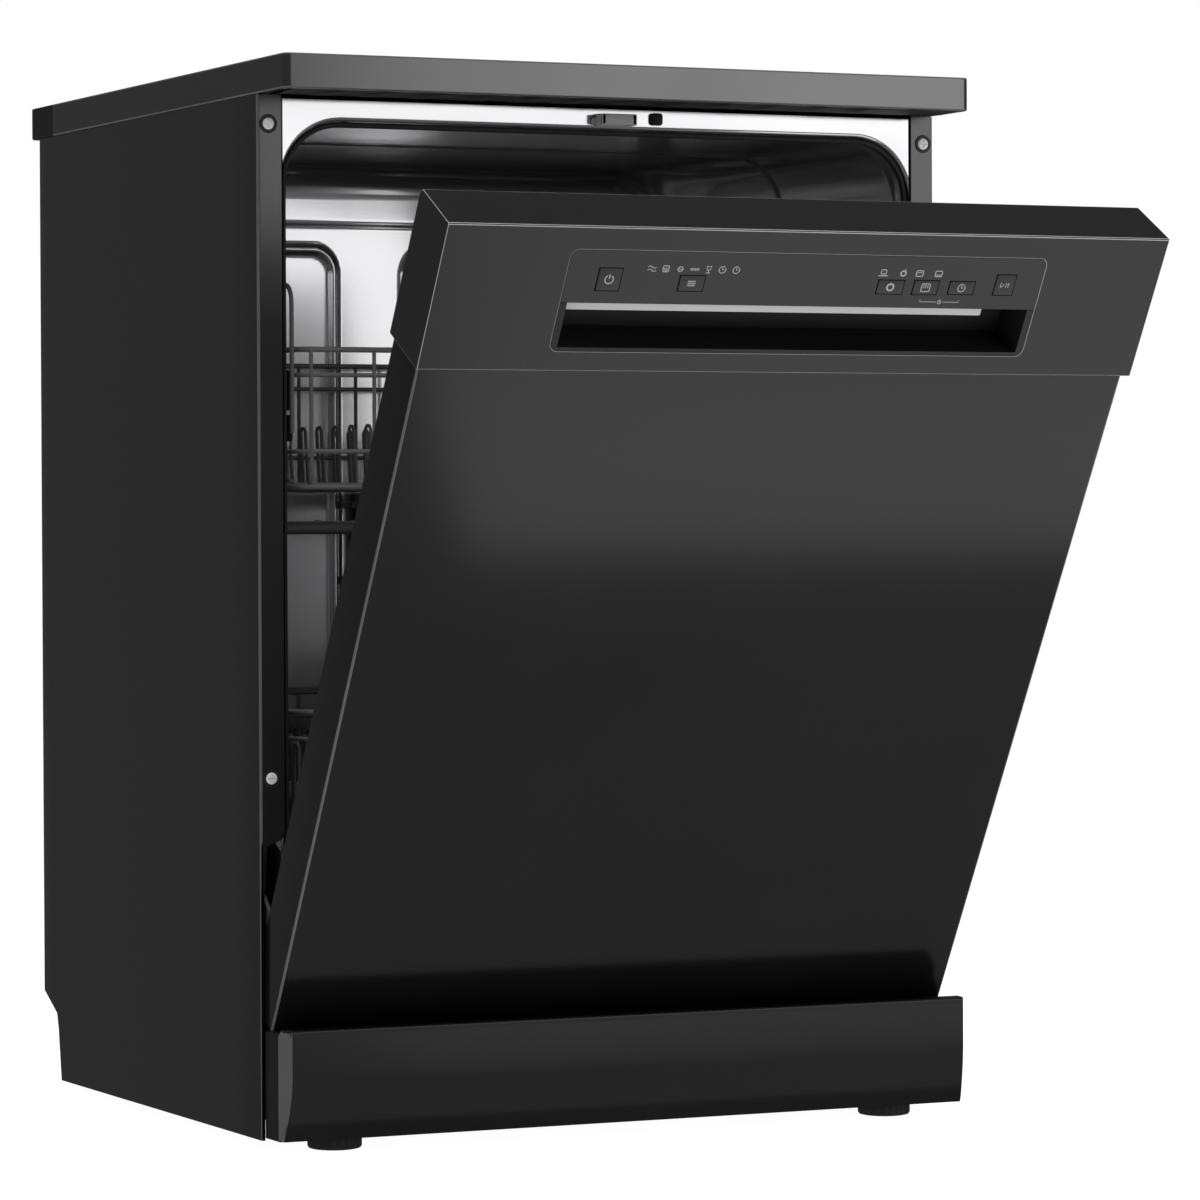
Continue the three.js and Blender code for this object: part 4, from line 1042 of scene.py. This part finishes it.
def key_marks(name, x, z, face):
    """The plain symbol on each key."""
    if name == "power":
        return [stroke(arc(x, z, 3.3, 120, 420), 0.8, face),
                stroke([(x, z + 0.6), (x, z + 4.4)], 0.8, face)]
    if name == "program":
        return [stroke([(x - 3.2, z + d), (x + 3.2, z + d)], 0.75, face) for d in (-1.7, 0, 1.7)]
    if name == "ring":
        return [ring(x, z, 2.7, 1.3, face)]
    if name == "half_load":
        return [frame_mark(x, z, 7, 6.4, 0.7, face)] + [
            stroke([(x + d, z - 0.4), (x + d, z + 2.4)], 0.6, face) for d in (-1.7, 0, 1.7)]
    if name == "delay":
        return clock(x, z, 3.0, 0.7, face)
    return [stroke([(x - 3.4, z - 1.9), (x - 3.4, z + 1.9), (x - 0.6, z), (x - 3.4, z - 1.9)], 0.55,
                   face), stroke([(x + 1.2, z - 1.9), (x + 1.2, z + 1.9)], 0.6, face),
            stroke([(x + 3.0, z - 1.9), (x + 3.0, z + 1.9)], 0.6, face)]


for name, (x0, x1, z0, z1) in KEYS.items():
    made(f"key_{name}", [
        slab(x0 + 0.35, x1, z0, z1 - 0.1, KEY_FACE, -56.6, 0.9, 0.45, "y"),
        slab((x0 + x1) / 2 - 2, (x0 + x1) / 2 + 2, (z0 + z1) / 2 - 2, (z0 + z1) / 2 + 2, -58, -54.2,
             0.4, 0.2, "y"),
    ], f"button_{name}", [f"button_{name}"], insert_gloss, hung)
    made(f"key_mark_{name}", key_marks(name, (x0 + x1) / 2, (z0 + z1) / 2, KEY_FACE),
         f"button_{name}", [], printed, hung)

ROW = 602.2  # the programme marks stand level above the keys
FASCIA = -61.9


def wavy(x, z, face):
    a = np.linspace(0, 2 * math.pi, 20)
    return stroke(np.column_stack([x - 3.4 + a * 1.08, z + 0.9 * np.sin(a)]), 0.6, face)


marks = [wavy(-130, ROW + 1.2, FASCIA), wavy(-130, ROW - 1.4, FASCIA),
         frame_mark(-118.8, ROW, 4.6, 4.8, 0.7, FASCIA), ring(-118.8, ROW - 0.4, 1.0, 0.6, FASCIA),
         ring(-107.1, ROW, 1.9, 0.7, FASCIA),
         stroke([(-109.8, ROW), (-104.4, ROW)], 0.5, FASCIA),
         *(ring(x, ROW, 0.8, 0.6, FASCIA) for x in (-97.9, -95.4, -92.9)),
         stroke([(-86, ROW + 2.6), (-85.4, ROW - 0.4), (-83, ROW - 0.4), (-82.2, ROW + 2.6),
                 (-86, ROW + 2.6)], 0.6, FASCIA),
         stroke([(-84.2, ROW - 0.6), (-84.2, ROW - 2.6)], 0.6, FASCIA),
         stroke([(-85.8, ROW - 2.7), (-82.6, ROW - 2.7)], 0.6, FASCIA),
         *clock(-73, ROW, 2.7, 0.6, FASCIA), *clock(-61.7, ROW, 2.7, 0.6, FASCIA)]
marks += [frame_mark(60.6, ROW + 0.8, 4.2, 3.6, 0.7, FASCIA),
          stroke([(56.6, ROW - 2.4), (64.6, ROW - 2.4)], 0.7, FASCIA),
          ring(77.2, ROW - 0.2, 2.1, 1.1, FASCIA),
          stroke([(77.2, ROW + 1.8), (78.8, ROW + 3.2)], 0.7, FASCIA),
          frame_mark(91, ROW, 5.6, 4.6, 0.7, FASCIA),
          stroke([(89, ROW + 0.8), (93, ROW + 0.8)], 0.6, FASCIA),
          frame_mark(107.1, ROW, 5.6, 4.6, 0.7, FASCIA),
          stroke([(105, ROW - 1), (109.2, ROW - 1)], 0.6, FASCIA)]
LOCK = 578.7
marks += [stroke([(97, LOCK + 2), (97, LOCK), (111, LOCK)], 0.5, FASCIA),
          stroke([(116.6, LOCK), (130, LOCK), (130, LOCK + 2)], 0.5, FASCIA),
          frame_mark(113.8, LOCK - 0.3, 2.6, 2.2, 0.6, FASCIA),
          stroke(arc(113.8, LOCK + 0.9, 0.9, 0, 180, 10), 0.5, FASCIA)]
made("programme_marks", marks, "door", [], printed, hung)

# ---- Studio ---------------------------------------------------------------------------------
# A pale floor under a white surround. Two tall soft boxes stand ahead and to the right, two low
# ones lie by the door and face up, and a broad one hangs overhead and casts no reflection.
floor_mesh = bpy.data.meshes.new("studio_floor")
floor_mesh.from_pydata([(-30, -30, -0.0005), (30, -30, -0.0005), (30, 30, -0.0005),
                        (-30, 30, -0.0005)], [], [(0, 1, 2, 3)])
floor = bpy.data.objects.new("studio_floor", floor_mesh)
bpy.context.scene.collection.objects.link(floor)
floor_paint = bpy.data.materials.new("studio_floor")
floor_paint.use_nodes = True
floor_shader = floor_paint.node_tree.nodes["Principled BSDF"]
floor_shader.inputs["Base Color"].default_value = (0.30, 0.30, 0.30, 1)
floor_shader.inputs["Roughness"].default_value = 0.9
floor_shader.inputs["Specular IOR Level"].default_value = 0.0
floor_shader.inputs["Emission Color"].default_value = (1, 1, 1, 1)
floor_shader.inputs["Emission Strength"].default_value = 0.98
floor_mesh.materials.append(floor_paint)
floor.visible_glossy = False

world = bpy.data.worlds.new("studio")
world.use_nodes = True
sky = world.node_tree
seen, unseen = sky.nodes["Background"], sky.nodes.new("ShaderNodeBackground")
seen.inputs["Color"].default_value = (1, 1, 1, 1)
seen.inputs["Strength"].default_value = 1.0
unseen.inputs["Color"].default_value = (1, 1, 1, 1)
unseen.inputs["Strength"].default_value = 0.10
ray, choice = sky.nodes.new("ShaderNodeLightPath"), sky.nodes.new("ShaderNodeMixShader")
sky.links.new(ray.outputs["Is Camera Ray"], choice.inputs["Fac"])
sky.links.new(unseen.outputs["Background"], choice.inputs[1])
sky.links.new(seen.outputs["Background"], choice.inputs[2])
sky.links.new(choice.outputs["Shader"], sky.nodes["World Output"].inputs["Surface"])
bpy.context.scene.world = world


def soft_light(name, place, target, wide, tall, watts):
    """A rectangular soft box that faces its target."""
    light = bpy.data.lights.new(name, "AREA")
    light.shape, light.size, light.size_y, light.energy = "RECTANGLE", wide, tall, watts
    lamp = bpy.data.objects.new(name, light)
    bpy.context.scene.collection.objects.link(lamp)
    lamp.visible_camera = False
    back = np.array(place, float) - target
    back /= np.linalg.norm(back)
    right = np.cross((0, 0, 1), back)
    right /= np.linalg.norm(right)
    lamp.matrix_world = Matrix([(*row, p) for row, p in
                                zip(np.column_stack([right, np.cross(back, right), back]), place)]
                               + [(0, 0, 0, 1)])
    return lamp


soft_light("front_box", (2.94, -3.7, 1.35), (2.94, 0.0, 1.35), 2.0, 2.1, 19)
soft_light("side_card", (1.42, -3.7, 1.35), (1.42, 0.0, 1.35), 1.04, 2.1, 9.0)
soft_light("low_box", (0.80, -0.96, 0.02), (0.801, -0.96, 1.0), 0.8, 1.6, 4.0)
soft_light("floor_card", (0.2, -0.453, 0.01), (0.201, -0.453, 1.0), 0.61, 1.8, 0.8)
overhead = soft_light("overhead_box", (0.0, -0.6, 3.0), (0.001, -0.6, 0.0), 3.0, 3.0, 95)
overhead.visible_glossy = False

# ---- Camera ---------------------------------------------------------------------------------
# Ahead and to the left at mid height, with a long lens.
camera = bpy.data.objects.new("camera", bpy.data.cameras.new("camera"))
camera.data.lens, camera.data.sensor_width = 151.563, 36.0
yaw, pitch, roll = 0.4410148, -0.0175328, -0.0039464
forward = np.array([math.sin(yaw) * math.cos(pitch), math.cos(yaw) * math.cos(pitch),
                    math.sin(pitch)])
level = np.array([math.cos(yaw), -math.sin(yaw), 0.0])
over = np.cross(level, forward)
right = level * math.cos(roll) + over * math.sin(roll)
above = over * math.cos(roll) - level * math.sin(roll)
at = (-1.72832, -3.73110, 0.49404)
camera.matrix_world = Matrix([(*row, p) for row, p in
                              zip(np.column_stack([right, above, -forward]), at)] + [(0, 0, 0, 1)])
camera.data.clip_start, camera.data.clip_end = 0.05, 200.0
bpy.context.scene.collection.objects.link(camera)
bpy.context.scene.camera = camera
bpy.context.scene.view_settings.view_transform = "Standard"
